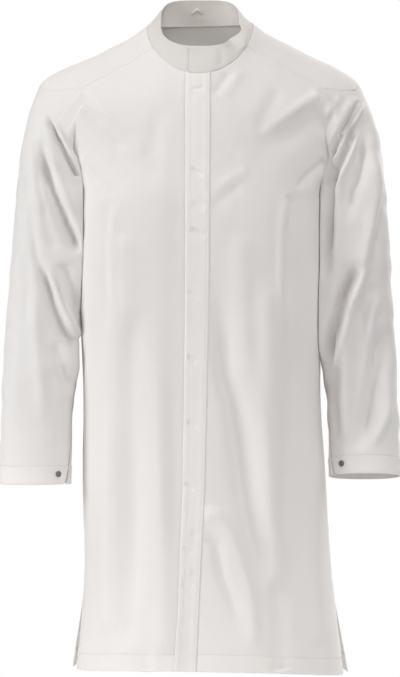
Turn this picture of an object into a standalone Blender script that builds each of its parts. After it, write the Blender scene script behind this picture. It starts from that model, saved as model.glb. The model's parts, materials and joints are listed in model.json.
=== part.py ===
"""Dust coat: a long white work coat with a stand collar and a covered stud front.

The coat keeps the hollow form it has when it is worn, with no wearer in it. Metres, +Z up.
The wearer faces -Y, so the wearer's left is +X. The origin is where the shoulders hold the
coat up: the middle of the neck, level with the tops of the shoulders.

Every body panel is cut from one smooth surface, torso_point(angle, level). The angle goes
round the body: 0 is the wearer's left side, 90 the front, 180 the right side, 270 or -90 the
back. The level is a row number of TORSO, and may lie between two rows.
"""

import math

import bmesh
import bpy
from mathutils import Vector

# ---- driving sizes ------------------------------------------------------------------------
PANEL_WALL = 0.0012
BAND_WALL = 0.0020
COLLAR_WALL = 0.0018
CUFF_WALL = 0.0018
SEAM_GAP = 0.0006            # at the outer faces; curved walls close it to about half inside
HEAD_GAP = 0.0021            # sleeve heads turn sharply, so their walls need more room
BAND_SEAM_GAP = 0.0009
BAND_TOP_GAP = 0.0024
BAND_PROUD = 0.0007          # how far the fly band stands out of the fronts
UNDERLAP_DIP = 0.0026        # how far the right front sinks under the fly band
UNDERLAP_REACH = 0.0060      # the right front stops this far short of the band's seam
COLLAR_HEIGHT_LAP = 0.0085   # the lapped collar end is this much lower at its corner
COLLAR_UNDER_DIP = 0.0024
COLLAR_UNDER_X = 0.034       # where the collar's under end stops, behind the lapped end
COLLAR_BULGE = 0.0016
COLLAR_LAP_FROM = 62.0       # the angle from which the lapped end falls away
COLLAR_LAP_X = -0.0186       # free edge of the lapped collar end
SLIT_FRONT_IN = 0.0030       # below the slit the front edge falls in and the back edge out
SLIT_BACK_OUT = 0.0040
VENT_TOP_ROW = 11            # sleeve row at which the vent opens
VENT_FRONT_ANGLE = 12.0
VENT_BACK_ANGLE = 5.0
VENT_BACK_OUT = 0.0060
STUD_RADIUS = 0.0048
STUD_HEIGHT = 0.0022
STUD_CLEAR = 0.0004          # the cap's flat back sits this far off the rounded cuff
STUD_SIDES = 16
STUD_ROW = 0.22              # how far down the cuff, as a share of a sleeve row
STUD_COLUMN = 2.6            # and how far round from the vent, in columns
STUD_PROFILE = ((0.0, 0.55), (0.30, 0.55), (0.45, 0.75), (0.62, 1.0), (0.85, 0.85), (1.0, 0.35),
                (1.0, 0.0), (0.0, 0.0))
LOOP_MIDDLE_X = -0.005
LOOP_SPAN = 0.016
LOOP_FOOT = 0.44             # heights up the collar, as shares of it
LOOP_RISE = 0.17
LOOP_STAND = 0.004
LOOP_CLEAR = 0.0009
LOOP_WIDTH = 0.003
LOOP_SLOPE = 1.4             # steepness of the arch at its feet, rise over run
LOOP_WALL = 0.0010
LOOP_STEPS = 8

# ---- how finely the pieces are divided; pieces that meet share their points -----------------
SIDE_ROWS = 20               # hem to underarm
ARMHOLE_ROWS = 6             # underarm to yoke, at the front and at the back
FRONT_COLUMNS = 9            # middle edge to side seam of one front
YOKE_SEAM_ROWS = 6           # armhole to neck along the front yoke seam
SADDLE_FRONT_ROWS = 2        # armhole to the front corner of the saddle
SADDLE_END_COLUMNS = 4       # across the end of the saddle
SADDLE_BACK_COLUMNS = 2
BACK_COLUMNS = 16
SLEEVE_ROWS = 14
COLLAR_ROWS = 2

MIDDLE_Z_AT_UNDERARM = -0.300
MIDDLE_Z_AT_YOKE = -0.170
SLIT_LEVEL = 1.0
UNDERARM_LEVEL = 7.0
NECK_LEVEL = 11.0

TORSO_COLUMNS = ("name", "half_width", "front_depth", "back_depth", "z_side", "front_drop",
                 "back_drop", "x_shift", "side_back", "roll", "roundness", "drop_power")
TORSO = (
    ("hem",          0.2161, 0.168, 0.160, -1.026, -0.018, -0.008, 0.0163, 0.000, -0.004, 0.90, 1.5),
    ("slit_top",     0.1976, 0.158, 0.150, -0.877, -0.008, -0.004, 0.0132, 0.000, -0.002, 0.88, 1.5),
    ("hip",          0.1937, 0.151, 0.142, -0.720,  0.000,  0.000, 0.0067, 0.000,  0.000, 0.86, 1.5),
    ("waist",        0.1890, 0.144, 0.132, -0.580,  0.000,  0.000, 0.0030, 0.004,  0.000, 0.82, 1.5),
    ("low_chest",    0.1940, 0.142, 0.127, -0.430,  0.000,  0.000, 0.0018, 0.022,  0.000, 0.75, 1.5),
    ("chest",        0.1945, 0.142, 0.127, -0.335,  0.002,  0.000, 0.0018, 0.028,  0.000, 0.74, 1.5),
    ("high_chest",   0.1948, 0.141, 0.127, -0.290,  0.006, -0.002, 0.0014, 0.026,  0.000, 0.76, 1.5),
    ("underarm",     0.1970, 0.138, 0.126, -0.250,  0.012, -0.008, 0.0008, 0.014,  0.000, 0.82, 1.5),
    ("armhole",      0.2350, 0.130, 0.122, -0.170,  0.033, -0.020, 0.0000, 0.005,  0.000, 0.98, 1.4),
    ("saddle_end",   0.2560, 0.121, 0.113, -0.092,  0.058,  0.000, 0.0000, 0.002,  0.000, 1.02, 1.3),
    ("mid_shoulder", 0.1540, 0.110, 0.095, -0.0360,  0.073, -0.016, 0.0000, 0.000, 0.0024, 1.00, 1.2),
    ("neck",         0.0835, 0.100, 0.075,  0.0055, 0.0865, -0.007, 0.0000, 0.000, 0.0018, 0.96, 1.1),
)

# Edges of the pieces on that surface, as (angle, level).
ARMHOLE_FRONT = ((0, 7.0), (11, 7.10), (22, 7.42), (32, 7.95), (40, 8.50), (43, 9.00), (35, 9.35))
ARMHOLE_BACK = ((0, 7.0), (-11, 7.12), (-24, 7.45), (-34, 7.90), (-40, 8.35), (-41, 8.60),
                (-39, 8.80))
YOKE_FRONT_SEAM = ((30, 11.0), (29, 10.5), (31, 10.0), (35, 9.35))
SADDLE_FRONT_SEAM = ((35, 9.35), (25, 9.10), (15, 9.00))
SADDLE_END = ((15, 9.0), (0, 9.0), (-18, 8.94))
SADDLE_BACK_SEAM = ((-18, 8.94), (-29, 8.85), (-39, 8.80))
BACK_YOKE_SEAM = ((-39, 8.80), (-90, 8.80), (-141, 8.80))

FLY_COLUMNS = ("z", "free_edge_x", "seam_x")
FLY = (
    (-1.012, -0.0406, -0.0082),
    (-0.925, -0.0335, -0.0042),
    (-0.790, -0.0290,  0.0020),
    (-0.730, -0.0263,  0.0051),
    (-0.480, -0.0230,  0.0108),
    (-0.395, -0.0224,  0.0121),
    (-0.081, -0.0224,  0.0139),
)

COLLAR_RIM = {"half_width": 0.0628, "front_depth": 0.075, "back_depth": 0.067,
              "front_roundness": 0.72, "back_roundness": 0.50, "z_side": 0.0105, "tilt": 0.635}

SLEEVE_COLUMNS = ("name", "x_out", "z_out", "x_in", "z_in", "y_centre", "half_depth", "inward")
SLEEVE = (
    ("head",      0.2770, -0.147, 0.1974, -0.275,  0.000, 0.074, 0.015),
    ("biceps",    0.2916, -0.213, 0.1958, -0.320, -0.004, 0.079, 0.018),
    ("mid_arm",   0.2995, -0.300, 0.1955, -0.370, -0.006, 0.077, 0.021),
    ("elbow",     0.3068, -0.410, 0.1952, -0.440, -0.008, 0.071, 0.021),
    ("below",     0.3132, -0.530, 0.1945, -0.535, -0.014, 0.062, 0.016),
    ("forearm",   0.3158, -0.615, 0.2025, -0.615, -0.022, 0.054, 0.006),
    ("cuff_seam", 0.3172, -0.7005, 0.2045, -0.7005, -0.031, 0.047, 0.000),
    ("cuff_edge", 0.3182, -0.7270, 0.2045, -0.7270, -0.034, 0.046, 0.000),
)
SLEEVE_SQUARE = 0.92
SLEEVE_LEAD = 0.030          # how far back into the body the sleeve's line is carried on
INWARD_GAIN = 2.6            # brings the greatest value of the product beside it to about 1
INWARD_SHARE = {"left": 0.72, "right": 1.0}
SLEEVE_STRETCH = {"left": 0.9735, "right": 1.0}     # the left sleeve rides a little higher
SLEEVE_STRETCH_FROM = -0.275
CUFF_PITCH = {"left": 0.0075, "right": 0.001}

FOLD_COLUMNS = ("face", "x0", "z0", "x1", "z1", "x2", "z2", "width", "depth")
BODY_FOLDS = (
    ("front",  0.020, -0.400,  0.062, -0.600,  0.108, -0.845, 0.026, -0.0110),
    ("front",  0.006, -0.768,  0.034, -0.790,  0.080, -0.960, 0.022,  0.0070),
    ("front",  0.184, -0.111,  0.140, -0.148,  0.088, -0.193, 0.018,  0.0060),
    ("front",  0.192, -0.135,  0.150, -0.178,  0.093, -0.225, 0.018, -0.0070),
    ("front",  0.155, -0.250,  0.158, -0.400,  0.150, -0.600, 0.024, -0.0085),
    ("front",  0.106, -0.420,  0.104, -0.560,  0.118, -0.760, 0.022,  0.0060),
    ("front",  0.150, -0.640,  0.152, -0.800,  0.160, -0.960, 0.024, -0.0060),
    ("front", -0.178, -0.117, -0.140, -0.150, -0.110, -0.180, 0.018,  0.0050),
    ("front", -0.112, -0.430, -0.110, -0.700, -0.106, -0.960, 0.026, -0.0085),
    ("front", -0.068, -0.440, -0.066, -0.700, -0.062, -0.970, 0.022,  0.0060),
    ("front", -0.146, -0.230, -0.148, -0.360, -0.152, -0.520, 0.020, -0.0060),
    ("front", -0.152, -0.620, -0.150, -0.780, -0.156, -0.960, 0.022,  0.0055),
    ("back",  -0.060, -0.330, -0.075, -0.600, -0.095, -0.960, 0.028, -0.0110),
    ("back",   0.055, -0.380,  0.062, -0.640,  0.070, -0.970, 0.026, -0.0095),
    ("back",   0.000, -0.450,  0.004, -0.700, -0.004, -0.960, 0.024,  0.0070),
    ("back",   0.150, -0.170,  0.120, -0.250,  0.105, -0.360, 0.020, -0.0070),
    ("back",  -0.152, -0.165, -0.125, -0.240, -0.108, -0.340, 0.020, -0.0065),
    ("back",   0.140, -0.560,  0.138, -0.760,  0.142, -0.940, 0.024, -0.0070),
)
SLEEVE_FOLDS = {
    "left": (
        ("front", 0.250, -0.135, 0.228, -0.175, 0.204, -0.235, 0.014, -0.0090),
        ("front", 0.272, -0.240, 0.258, -0.368, 0.220, -0.480, 0.016,  0.0080),
        ("front", 0.252, -0.370, 0.230, -0.430, 0.206, -0.500, 0.015, -0.0090),
        ("front", 0.298, -0.490, 0.282, -0.570, 0.260, -0.660, 0.015, -0.0070),
        ("back",  0.262, -0.180, 0.236, -0.240, 0.206, -0.300, 0.014, -0.0070),
        ("back",  0.290, -0.300, 0.262, -0.380, 0.212, -0.450, 0.016, -0.0085),
        ("back",  0.296, -0.430, 0.270, -0.500, 0.226, -0.560, 0.015, -0.0070),
        ("back",  0.250, -0.560, 0.246, -0.610, 0.250, -0.660, 0.016,  0.0050),
    ),
    "right": (
        ("front", 0.240, -0.150, 0.216, -0.195, 0.194, -0.250, 0.013, -0.0090),
        ("front", 0.253, -0.190, 0.236, -0.275, 0.196, -0.355, 0.015, -0.0095),
        ("front", 0.272, -0.290, 0.246, -0.395, 0.202, -0.510, 0.016, -0.0090),
        ("front", 0.256, -0.470, 0.257, -0.570, 0.256, -0.670, 0.016,  0.0055),
        ("back",  0.266, -0.170, 0.240, -0.235, 0.206, -0.290, 0.014, -0.0070),
        ("back",  0.288, -0.280, 0.258, -0.370, 0.208, -0.440, 0.016, -0.0085),
        ("back",  0.294, -0.420, 0.268, -0.490, 0.224, -0.540, 0.015, -0.0070),
        ("back",  0.246, -0.560, 0.250, -0.610, 0.252, -0.660, 0.016,  0.0050),
    ),
}

CLOTH_COLOUR = (0.84, 0.83, 0.81, 1.0)
METAL_COLOUR = (0.33, 0.33, 0.34, 1.0)


# ---- curves and blends --------------------------------------------------------------------
def smooth(value):
    """0 below 0, 1 above 1, and a soft step between."""
    value = min(1.0, max(0.0, value))
    return value * value * (3.0 - 2.0 * value)


def spline(points, position):
    """Catmull-Rom through equally numbered points; position runs from 0 to len(points) - 1."""
    last = len(points) - 1
    start = min(int(max(position, 0.0)), last - 1)
    local = position - start
    row = [points[min(max(start + step, 0), last)] for step in (-1, 0, 1, 2)]
    weights = (
        -0.5 * local + local ** 2 - 0.5 * local ** 3,
        1.0 - 2.5 * local ** 2 + 1.5 * local ** 3,
        0.5 * local + 2.0 * local ** 2 - 1.5 * local ** 3,
        -0.5 * local ** 2 + 0.5 * local ** 3,
    )
    return tuple(sum(w * p[i] for w, p in zip(weights, row)) for i in range(len(points[0])))


def sample_edge(points, count):
    """count + 1 points evenly along a short list of (angle, level) points."""
    last = len(points) - 1
    return [spline(points, last * i / count) for i in range(count + 1)]


def solve(function, target, low, high):
    """The argument between low and high at which a rising function reaches the target."""
    for _ in range(40):
        middle = 0.5 * (low + high)
        if function(middle) < target:
            low = middle
        else:
            high = middle
    return 0.5 * (low + high)


def signed_power(value, power):
    return math.copysign(abs(value) ** power, value)


# ---- the body surface ---------------------------------------------------------------------
TORSO_NUMBERS = tuple(row[1:] for row in TORSO)


def section(level):
    """The sizes of the body's section at a level, by name."""
    return dict(zip(TORSO_COLUMNS[1:], spline(TORSO_NUMBERS, level)))


def ring_point(ring, angle):
    """A point on one tilted, squared-off ring."""
    cosine = math.cos(math.radians(angle))
    sine = math.sin(math.radians(angle))
    front = sine > 0.0
    depth = ring["front_depth"] if front else ring["back_depth"]
    drop = ring["front_drop"] if front else ring["back_drop"]
    across = signed_power(cosine, ring["roundness"])
    return Vector((
        ring["x_shift"] + ring["half_width"] * across,
        ring["side_back"] * cosine * cosine - depth * signed_power(sine, ring["roundness"]),
        ring["z_side"] + ring["roll"] * across - drop * abs(sine) ** ring["drop_power"],
    ))


def surface_normal(function, u, v, step_u, step_v):
    """The outward unit normal of a surface given by a function of two numbers."""
    along_u = function(u + step_u, v) - function(u - step_u, v)
    along_v = function(u, v + step_v) - function(u, v - step_v)
    return along_v.cross(along_u).normalized()


def plain_torso(angle, level):
    return ring_point(section(level), angle)


def fold_line(fold):
    """A fold row as its eleven points across the coat, on a curve through its three points."""
    ends = (fold["x0"], fold["z0"]), (fold["x1"], fold["z1"]), (fold["x2"], fold["z2"])
    return [spline(ends, 2.0 * i / 10) for i in range(11)]


def prepare_folds(rows):
    folds = []
    for row in rows:
        fold = dict(zip(FOLD_COLUMNS, row))
        fold["line"] = fold_line(fold)
        folds.append(fold)
    return folds


def fold_push(folds, x, z, face):
    """How far the folds of one face push the cloth out at a place seen from the front."""
    push = 0.0
    for fold in folds:
        if fold["face"] != face:
            continue
        line = fold["line"]
        nearest, along = 1.0, 0.0
        for i in range(len(line) - 1):
            (ax, az), (bx, bz) = line[i], line[i + 1]
            run, rise = bx - ax, bz - az
            share = ((x - ax) * run + (z - az) * rise) / (run * run + rise * rise)
            share = min(1.0, max(0.0, share))
            distance = math.hypot(x - ax - share * run, z - az - share * rise)
            if distance < nearest:
                nearest, along = distance, (i + share) / (len(line) - 1)
        ends = smooth(along / 0.25) * smooth((1.0 - along) / 0.25)
        push += fold["depth"] * ends * math.exp(-(nearest / fold["width"]) ** 2)
    return push


BODY_FOLD_LIST = prepare_folds(BODY_FOLDS)


def torso_point(angle, level, out=0.0):
    """A point of the coat's body, with its folds, moved out of the cloth by out."""
    point = plain_torso(angle, level)
    inside = min(max(level, 0.02), NECK_LEVEL - 0.02)
    normal = surface_normal(plain_torso, angle, inside, 1.0, 0.01)
    sine = math.sin(math.radians(angle))
    face = "front" if sine > 0.0 else "back"
    facing = smooth(abs(sine) / 0.45)
    push = fold_push(BODY_FOLD_LIST, point.x, point.z, face) * facing
    return point + normal * (push + out)


def level_at_height(z, which):
    """The level at which the side (0 degrees) or the front middle (90) has the height z."""
    return solve(lambda level: plain_torso(which, level).z, z, 0.0, NECK_LEVEL)


def angle_at_x(x, level):
    """The angle in front at which a level crosses a given x."""
    ring = section(level)
    cosine = signed_power((x - ring["x_shift"]) / ring["half_width"], 1.0 / ring["roundness"])
    return math.degrees(math.acos(cosine))


def fly_x(z, column):
    """The x of the fly band's free edge or seam at a height."""
    index = FLY_COLUMNS.index(column)
    for low, high in zip(FLY, FLY[1:]):
        if z <= high[0]:
            share = (z - low[0]) / (high[0] - low[0])
            return low[index] + share * (high[index] - low[index])
    return FLY[-1][index]


# ---- seams as lists of (angle, level), shared by the pieces on both sides --------------------
def side_seam():
    """Hem to underarm on the left side."""
    bottom = plain_torso(0.0, 0.0).z
    top = plain_torso(0.0, UNDERARM_LEVEL).z
    heights = [bottom + (top - bottom) * i / SIDE_ROWS for i in range(SIDE_ROWS + 1)]
    return [(0.0, level_at_height(z, 0.0)) for z in heights]


def middle_heights():
    """Heights of a front's rows at its middle edge, to match the rows at its outer edge."""
    stages = (
        (SIDE_ROWS, plain_torso(90.0, 0.0).z, MIDDLE_Z_AT_UNDERARM),
        (ARMHOLE_ROWS, MIDDLE_Z_AT_UNDERARM, MIDDLE_Z_AT_YOKE),
        (YOKE_SEAM_ROWS, MIDDLE_Z_AT_YOKE, plain_torso(90.0, NECK_LEVEL).z),
    )
    heights = [stages[0][1]]
    for rows, bottom, top in stages:
        heights += [bottom + (top - bottom) * i / rows for i in range(1, rows + 1)]
    return heights


def fly_edge(column, shift=0.0):
    """Hem to neck along the fly's free edge or seam, moved sideways by shift."""
    edge = []
    for z in middle_heights():
        level = level_at_height(z, 90.0)
        edge.append((angle_at_x(fly_x(z, column) + shift, level), level))
    return edge


def neckline(first_angle):
    """The left front's neckline, from its front edge to the yoke."""
    last_angle = YOKE_FRONT_SEAM[0][0]
    return [(first_angle + (last_angle - first_angle) * i / FRONT_COLUMNS, NECK_LEVEL)
            for i in range(FRONT_COLUMNS + 1)]


def coons(bottom, top, start, end):
    """Fill a four-sided patch between its edges. Rows run from bottom to top."""
    columns = len(bottom) - 1
    rows = len(start) - 1
    patch = []
    for j in range(rows + 1):
        v = j / rows
        row = []
        for i in range(columns + 1):
            u = i / columns
            row.append(tuple(
                (1 - v) * bottom[i][k] + v * top[i][k] + (1 - u) * start[j][k] + u * end[j][k]
                - (1 - u) * (1 - v) * bottom[0][k] - u * (1 - v) * bottom[-1][k]
                - (1 - u) * v * top[0][k] - u * v * top[-1][k]
                for k in (0, 1)))
        patch.append(row)
    return patch


def pull_back(grid, sides, gap=SEAM_GAP):
    """Draw the named edges of a grid of points in by half a gap."""
    def shift(a, b):
        return a + (b - a).normalized() * (0.5 * gap)
    if "first_row" in sides:
        grid[0] = [shift(a, b) for a, b in zip(grid[0], grid[1])]
    if "last_row" in sides:
        grid[-1] = [shift(a, b) for a, b in zip(grid[-1], grid[-2])]
    for row in grid:
        if "first_column" in sides:
            row[0] = shift(row[0], row[1])
        if "last_column" in sides:
            row[-1] = shift(row[-1], row[-2])
    return grid


# ---- the pieces as grids of points ----------------------------------------------------------
def underlap_dip(point):
    """How far the right front sinks at a place, to lie under the fly band."""
    edge = fly_x(point.z, "free_edge_x")
    return UNDERLAP_DIP * smooth((point.x - (edge - 0.045)) / 0.040)


def slit_share(level):
    """0 above the side slit, 1 at the hem."""
    return smooth((SLIT_LEVEL - level) / SLIT_LEVEL)


def front_grid(side):
    """A front panel, from its middle edge to the side seam and armhole."""
    if side == "left":
        middle = fly_edge("seam_x")
    else:
        middle = [(180.0 - a, level) for a, level in fly_edge("seam_x", -UNDERLAP_REACH)]
    columns = FRONT_COLUMNS
    outer = side_seam() + sample_edge(ARMHOLE_FRONT, ARMHOLE_ROWS)[1:]
    outer += list(reversed(sample_edge(YOKE_FRONT_SEAM, YOKE_SEAM_ROWS)))[1:]
    hem = [(middle[0][0] * (1.0 - i / columns), 0.0) for i in range(columns + 1)]
    patch = coons(hem, neckline(middle[-1][0]), middle, outer)
    grid = []
    for row in patch:
        points = []
        for i, (angle, level) in enumerate(row):
            share = slit_share(level) * smooth((i - columns + 3) / 3.0)
            out = -SLIT_FRONT_IN * share
            if side == "left":
                points.append(torso_point(angle, level, out))
            else:
                point = torso_point(180.0 - angle, level)
                points.append(torso_point(180.0 - angle, level, out - underlap_dip(point)))
        grid.append(points)
    if side == "right":
        grid = [list(reversed(row)) for row in grid]
        return pull_back(grid, ("last_row", "first_column"))
    return pull_back(grid, ("last_row", "last_column", "first_column"))


def back_grid():
    """The back panel, from the left side seam round to the right one."""
    left = side_seam() + sample_edge(ARMHOLE_BACK, ARMHOLE_ROWS)[1:]
    right = [(-180.0 - angle, level) for angle, level in left]
    hem = [(-180.0 * i / BACK_COLUMNS, 0.0) for i in range(BACK_COLUMNS + 1)]
    top = sample_edge(BACK_YOKE_SEAM, BACK_COLUMNS)
    grid = []
    for row in coons(hem, top, left, right):
        points = []
        for i, (angle, level) in enumerate(row):
            edge = min(i, BACK_COLUMNS - i)
            share = slit_share(level) * smooth((3 - edge) / 3.0)
            points.append(torso_point(angle, level, SLIT_BACK_OUT * share))
        grid.append(points)
    return pull_back(grid, ("last_row", "first_column", "last_column"))


def yoke_outer_edge():
    """The yoke's lower edge: saddle end, back corner, back seam and the same again."""
    half = sample_edge(SADDLE_END, SADDLE_END_COLUMNS)
    half += sample_edge(SADDLE_BACK_SEAM, SADDLE_BACK_COLUMNS)[1:]
    edge = half + sample_edge(BACK_YOKE_SEAM, BACK_COLUMNS)[1:]
    return edge + [(-180.0 - angle, level) for angle, level in reversed(half[:-1])]


def yoke_front_edge():
    """The yoke's front edge from the neck to the front corner of the saddle."""
    return (sample_edge(YOKE_FRONT_SEAM, YOKE_SEAM_ROWS)
            + sample_edge(SADDLE_FRONT_SEAM, SADDLE_FRONT_ROWS)[1:])


def yoke_grid():
    """The yoke, its rows running from the saddle ends and back seam up to the neck."""
    lower = yoke_outer_edge()
    start = list(reversed(yoke_front_edge()))
    end = [(-180.0 - angle, level) for angle, level in start]
    first, last = start[-1][0], end[-1][0]
    columns = len(lower) - 1
    upper = [(first + (last - first) * i / columns, NECK_LEVEL) for i in range(columns + 1)]
    grid = [[torso_point(angle, level) for angle, level in row]
            for row in coons(lower, upper, start, end)]
    return pull_back(grid, ("first_row", "last_row", "first_column", "last_column"))


def placket_grid():
    """The fly band, made from the fronts' own surface and moved out of it."""
    free = fly_edge("free_edge_x")
    seam = fly_edge("seam_x")
    grid = []
    for (angle_a, level_a), (angle_b, level_b) in zip(free, seam):
        grid.append([torso_point(angle_a + (angle_b - angle_a) * i / 2.0,
                                 level_a + (level_b - level_a) * i / 2.0, BAND_PROUD)
                     for i in range(3)])
    pull_back(grid, ("last_row",), BAND_TOP_GAP)
    return pull_back(grid, ("last_column",), BAND_SEAM_GAP)


def rim_point(angle):
    """A point on the collar's rim, one flat ring tilted down to the front."""
    cosine = math.cos(math.radians(angle))
    sine = math.sin(math.radians(angle))
    half = "front" if sine > 0.0 else "back"
    roundness = COLLAR_RIM[half + "_roundness"]
    y = -COLLAR_RIM[half + "_depth"] * signed_power(sine, roundness)
    return Vector((
        COLLAR_RIM["half_width"] * signed_power(cosine, roundness),
        y,
        COLLAR_RIM["z_side"] + COLLAR_RIM["tilt"] * y,
    ))


def collar_angles():
    """Angles round the neck: the lapped left end, left front, yoke, right front."""
    seam_angle = fly_edge("seam_x")[-1][0]
    lap_angle = angle_at_x(COLLAR_LAP_X, NECK_LEVEL)
    lap = [lap_angle, 0.5 * (lap_angle + seam_angle)]
    left = [angle for angle, _ in neckline(seam_angle)]
    yoke_columns = len(yoke_outer_edge()) - 1
    first, last = left[-1], -180.0 - left[-1]
    yoke = [first + (last - first) * i / yoke_columns for i in range(1, yoke_columns + 1)]
    under_edge = 180.0 - fly_edge("seam_x", -UNDERLAP_REACH)[-1][0]
    right = [-180.0 - angle for angle, _ in reversed(neckline(under_edge)[:-1])]
    last = angle_at_x(COLLAR_UNDER_X, NECK_LEVEL) - 360.0
    under = [0.5 * (right[-1] + last), last]
    return lap + left + yoke + right + under


def collar_point(angle, share):
    """A point of the stand collar; share is 0 at the neck seam and 1 at the rim."""
    lap_angle = angle_at_x(COLLAR_LAP_X, NECK_LEVEL)
    dip = COLLAR_UNDER_DIP * smooth((-180.0 - angle - 25.0) / 45.0)
    over = smooth((angle - COLLAR_LAP_FROM) / (lap_angle - COLLAR_LAP_FROM))
    foot = torso_point(angle, NECK_LEVEL, -dip)
    rim = rim_point(angle)
    outward = Vector((rim.x, rim.y, 0.0)).normalized()
    rim = rim - outward * dip - Vector((0.0, 0.0, COLLAR_HEIGHT_LAP * over))
    return foot.lerp(rim, share) + outward * (COLLAR_BULGE * math.sin(math.pi * share))


def collar_grid():
    """The stand collar, rows running up from the neck seam."""
    grid = [[collar_point(angle, j / COLLAR_ROWS) for angle in collar_angles()]
            for j in range(COLLAR_ROWS + 1)]
    return pull_back(grid, ("first_row",))


# ---- sleeves --------------------------------------------------------------------------------
def armhole_loop():
    """The left armhole: underarm, front, saddle end, back, underarm."""
    front = sample_edge(ARMHOLE_FRONT, ARMHOLE_ROWS)
    saddle = sample_edge(SADDLE_FRONT_SEAM, SADDLE_FRONT_ROWS)[1:]
    saddle += sample_edge(SADDLE_END, SADDLE_END_COLUMNS)[1:]
    saddle += sample_edge(SADDLE_BACK_SEAM, SADDLE_BACK_COLUMNS)[1:]
    back = list(reversed(sample_edge(ARMHOLE_BACK, ARMHOLE_ROWS)))[1:]
    return front + saddle + back


def sleeve_ring(row, side, angle):
    """A point on one ring of the left-hand sleeve form; 0 is outside, 90 the front.

    The front inner quarter hangs inward, in front of the body's side.
    """
    ring = dict(zip(SLEEVE_COLUMNS, row))
    cosine = signed_power(math.cos(math.radians(angle)), SLEEVE_SQUARE)
    sine = signed_power(math.sin(math.radians(angle)), SLEEVE_SQUARE)
    x = 0.5 * (ring["x_out"] + ring["x_in"]) + 0.5 * (ring["x_out"] - ring["x_in"]) * cosine
    x -= INWARD_GAIN * INWARD_SHARE[side] * ring["inward"] * max(0.0, -cosine) * max(0.0, sine) ** 2
    z = 0.5 * (ring["z_out"] + ring["z_in"]) + 0.5 * (ring["z_out"] - ring["z_in"]) * cosine
    if z < SLEEVE_STRETCH_FROM:
        z = SLEEVE_STRETCH_FROM + (z - SLEEVE_STRETCH_FROM) * SLEEVE_STRETCH[side]
    share = smooth((SLEEVE_STRETCH_FROM - z) / 0.40)
    z += CUFF_PITCH[side] * share * sine
    return Vector((x, ring["y_centre"] - ring["half_depth"] * sine, z))


def sleeve_column(index, count, vent):
    """The angle of one column of the sleeve, opened by vent at the under seam."""
    angle = 180.0 - 360.0 * index / count
    spread_front = VENT_FRONT_ANGLE * max(0.0, 1.0 - index / 3.0)
    spread_back = VENT_BACK_ANGLE * max(0.0, 1.0 - (count - index) / 3.0)
    return angle + vent * (spread_back - spread_front)


def vent_share(position):
    """0 above the sleeve's vent, growing to 1 at the cuff's edge."""
    start = SLEEVE_ROW_LEVELS[VENT_TOP_ROW]
    return max(0.0, (position - start) / (len(SLEEVE) - start))


def armhole_points(side):
    """The armhole's points, given as if on the left; the right ones are mirrored to it."""
    if side == "left":
        return [torso_point(angle, level) for angle, level in armhole_loop()]
    points = [torso_point(180.0 - angle, level) for angle, level in armhole_loop()]
    return [Vector((-point.x, point.y, point.z)) for point in points]


def sleeve_leads(loop):
    """For each armhole point, a point inside the body's cloth that the sleeve runs on from."""
    leads = []
    edge = armhole_loop()
    for index, (angle, level) in enumerate(edge):
        after = loop[(index + 1) % (len(edge) - 1)]
        before = loop[(index - 1) % (len(edge) - 1)]
        normal = surface_normal(plain_torso, angle, level, 1.0, 0.01)
        leads.append(loop[index] - (after - before).cross(normal).normalized() * SLEEVE_LEAD)
    return leads


def sleeve_point(index, count, position, side, loop, leads):
    """A point of the sleeve: position 0 is the armhole, then the rings of SLEEVE in turn."""
    angle = sleeve_column(index, count, vent_share(position))
    points = [leads[index], loop[index]] + [sleeve_ring(row, side, angle) for row in SLEEVE]
    return Vector(spline([tuple(p) for p in points], position + 1.0))


def sleeve_levels():
    """Positions of the sleeve's rows: closer together at its head."""
    cuff = len(SLEEVE) - 1
    head = [0.0, 0.4, 0.8, 1.25, 1.75]
    rest = SLEEVE_ROWS - len(head) + 1
    return head + [head[-1] + (cuff - head[-1]) * i / rest for i in range(1, rest + 1)]


SLEEVE_ROW_LEVELS = sleeve_levels()


def sleeve_sheet(side, positions):
    """Rows of points of a sleeve or cuff, mirrored for the wearer's right."""
    loop = armhole_points(side)
    leads = sleeve_leads(loop)
    count = len(loop) - 1
    folds = prepare_folds(SLEEVE_FOLDS[side])
    cuff_start = len(SLEEVE) - 1
    grid = []

    def plain(index, position):
        return sleeve_point(index, count, position, side, loop, leads)

    for position in positions:
        row = []
        for index in range(count + 1):
            point = plain(index, position)
            before = plain(max(index - 1, 0), position)
            after = plain(min(index + 1, count), position)
            step = 0.05
            higher = plain(index, max(position - step, 0.0))
            lower = plain(index, min(position + step, float(len(SLEEVE))))
            normal = (lower - higher).cross(after - before).normalized()
            angle = math.radians(180.0 - 360.0 * index / count)
            facing = smooth(abs(math.sin(angle)) / 0.5)
            face = "front" if math.sin(angle) > 0.0 else "back"
            fade = smooth(position / 0.8) * smooth((cuff_start - position) / 0.8)
            push = fold_push(folds, point.x, point.z, face) * facing * fade
            flap = VENT_BACK_OUT * vent_share(position) * smooth((3.0 - (count - index)) / 3.0)
            point = point + normal * push + Vector((-flap, 0.0, 0.0))
            if side == "right":
                point.x = -point.x
            row.append(point)
        grid.append(row)
    return grid


def sleeve_grid(side):
    grid = sleeve_sheet(side, SLEEVE_ROW_LEVELS)
    pull_back(grid, ("first_row",), HEAD_GAP)
    return pull_back(grid, ("last_row",))


def cuff_grid(side):
    seam = len(SLEEVE) - 1
    grid = sleeve_sheet(side, [seam, seam + 0.5, seam + 1.0])
    return pull_back(grid, ("first_row",))


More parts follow.
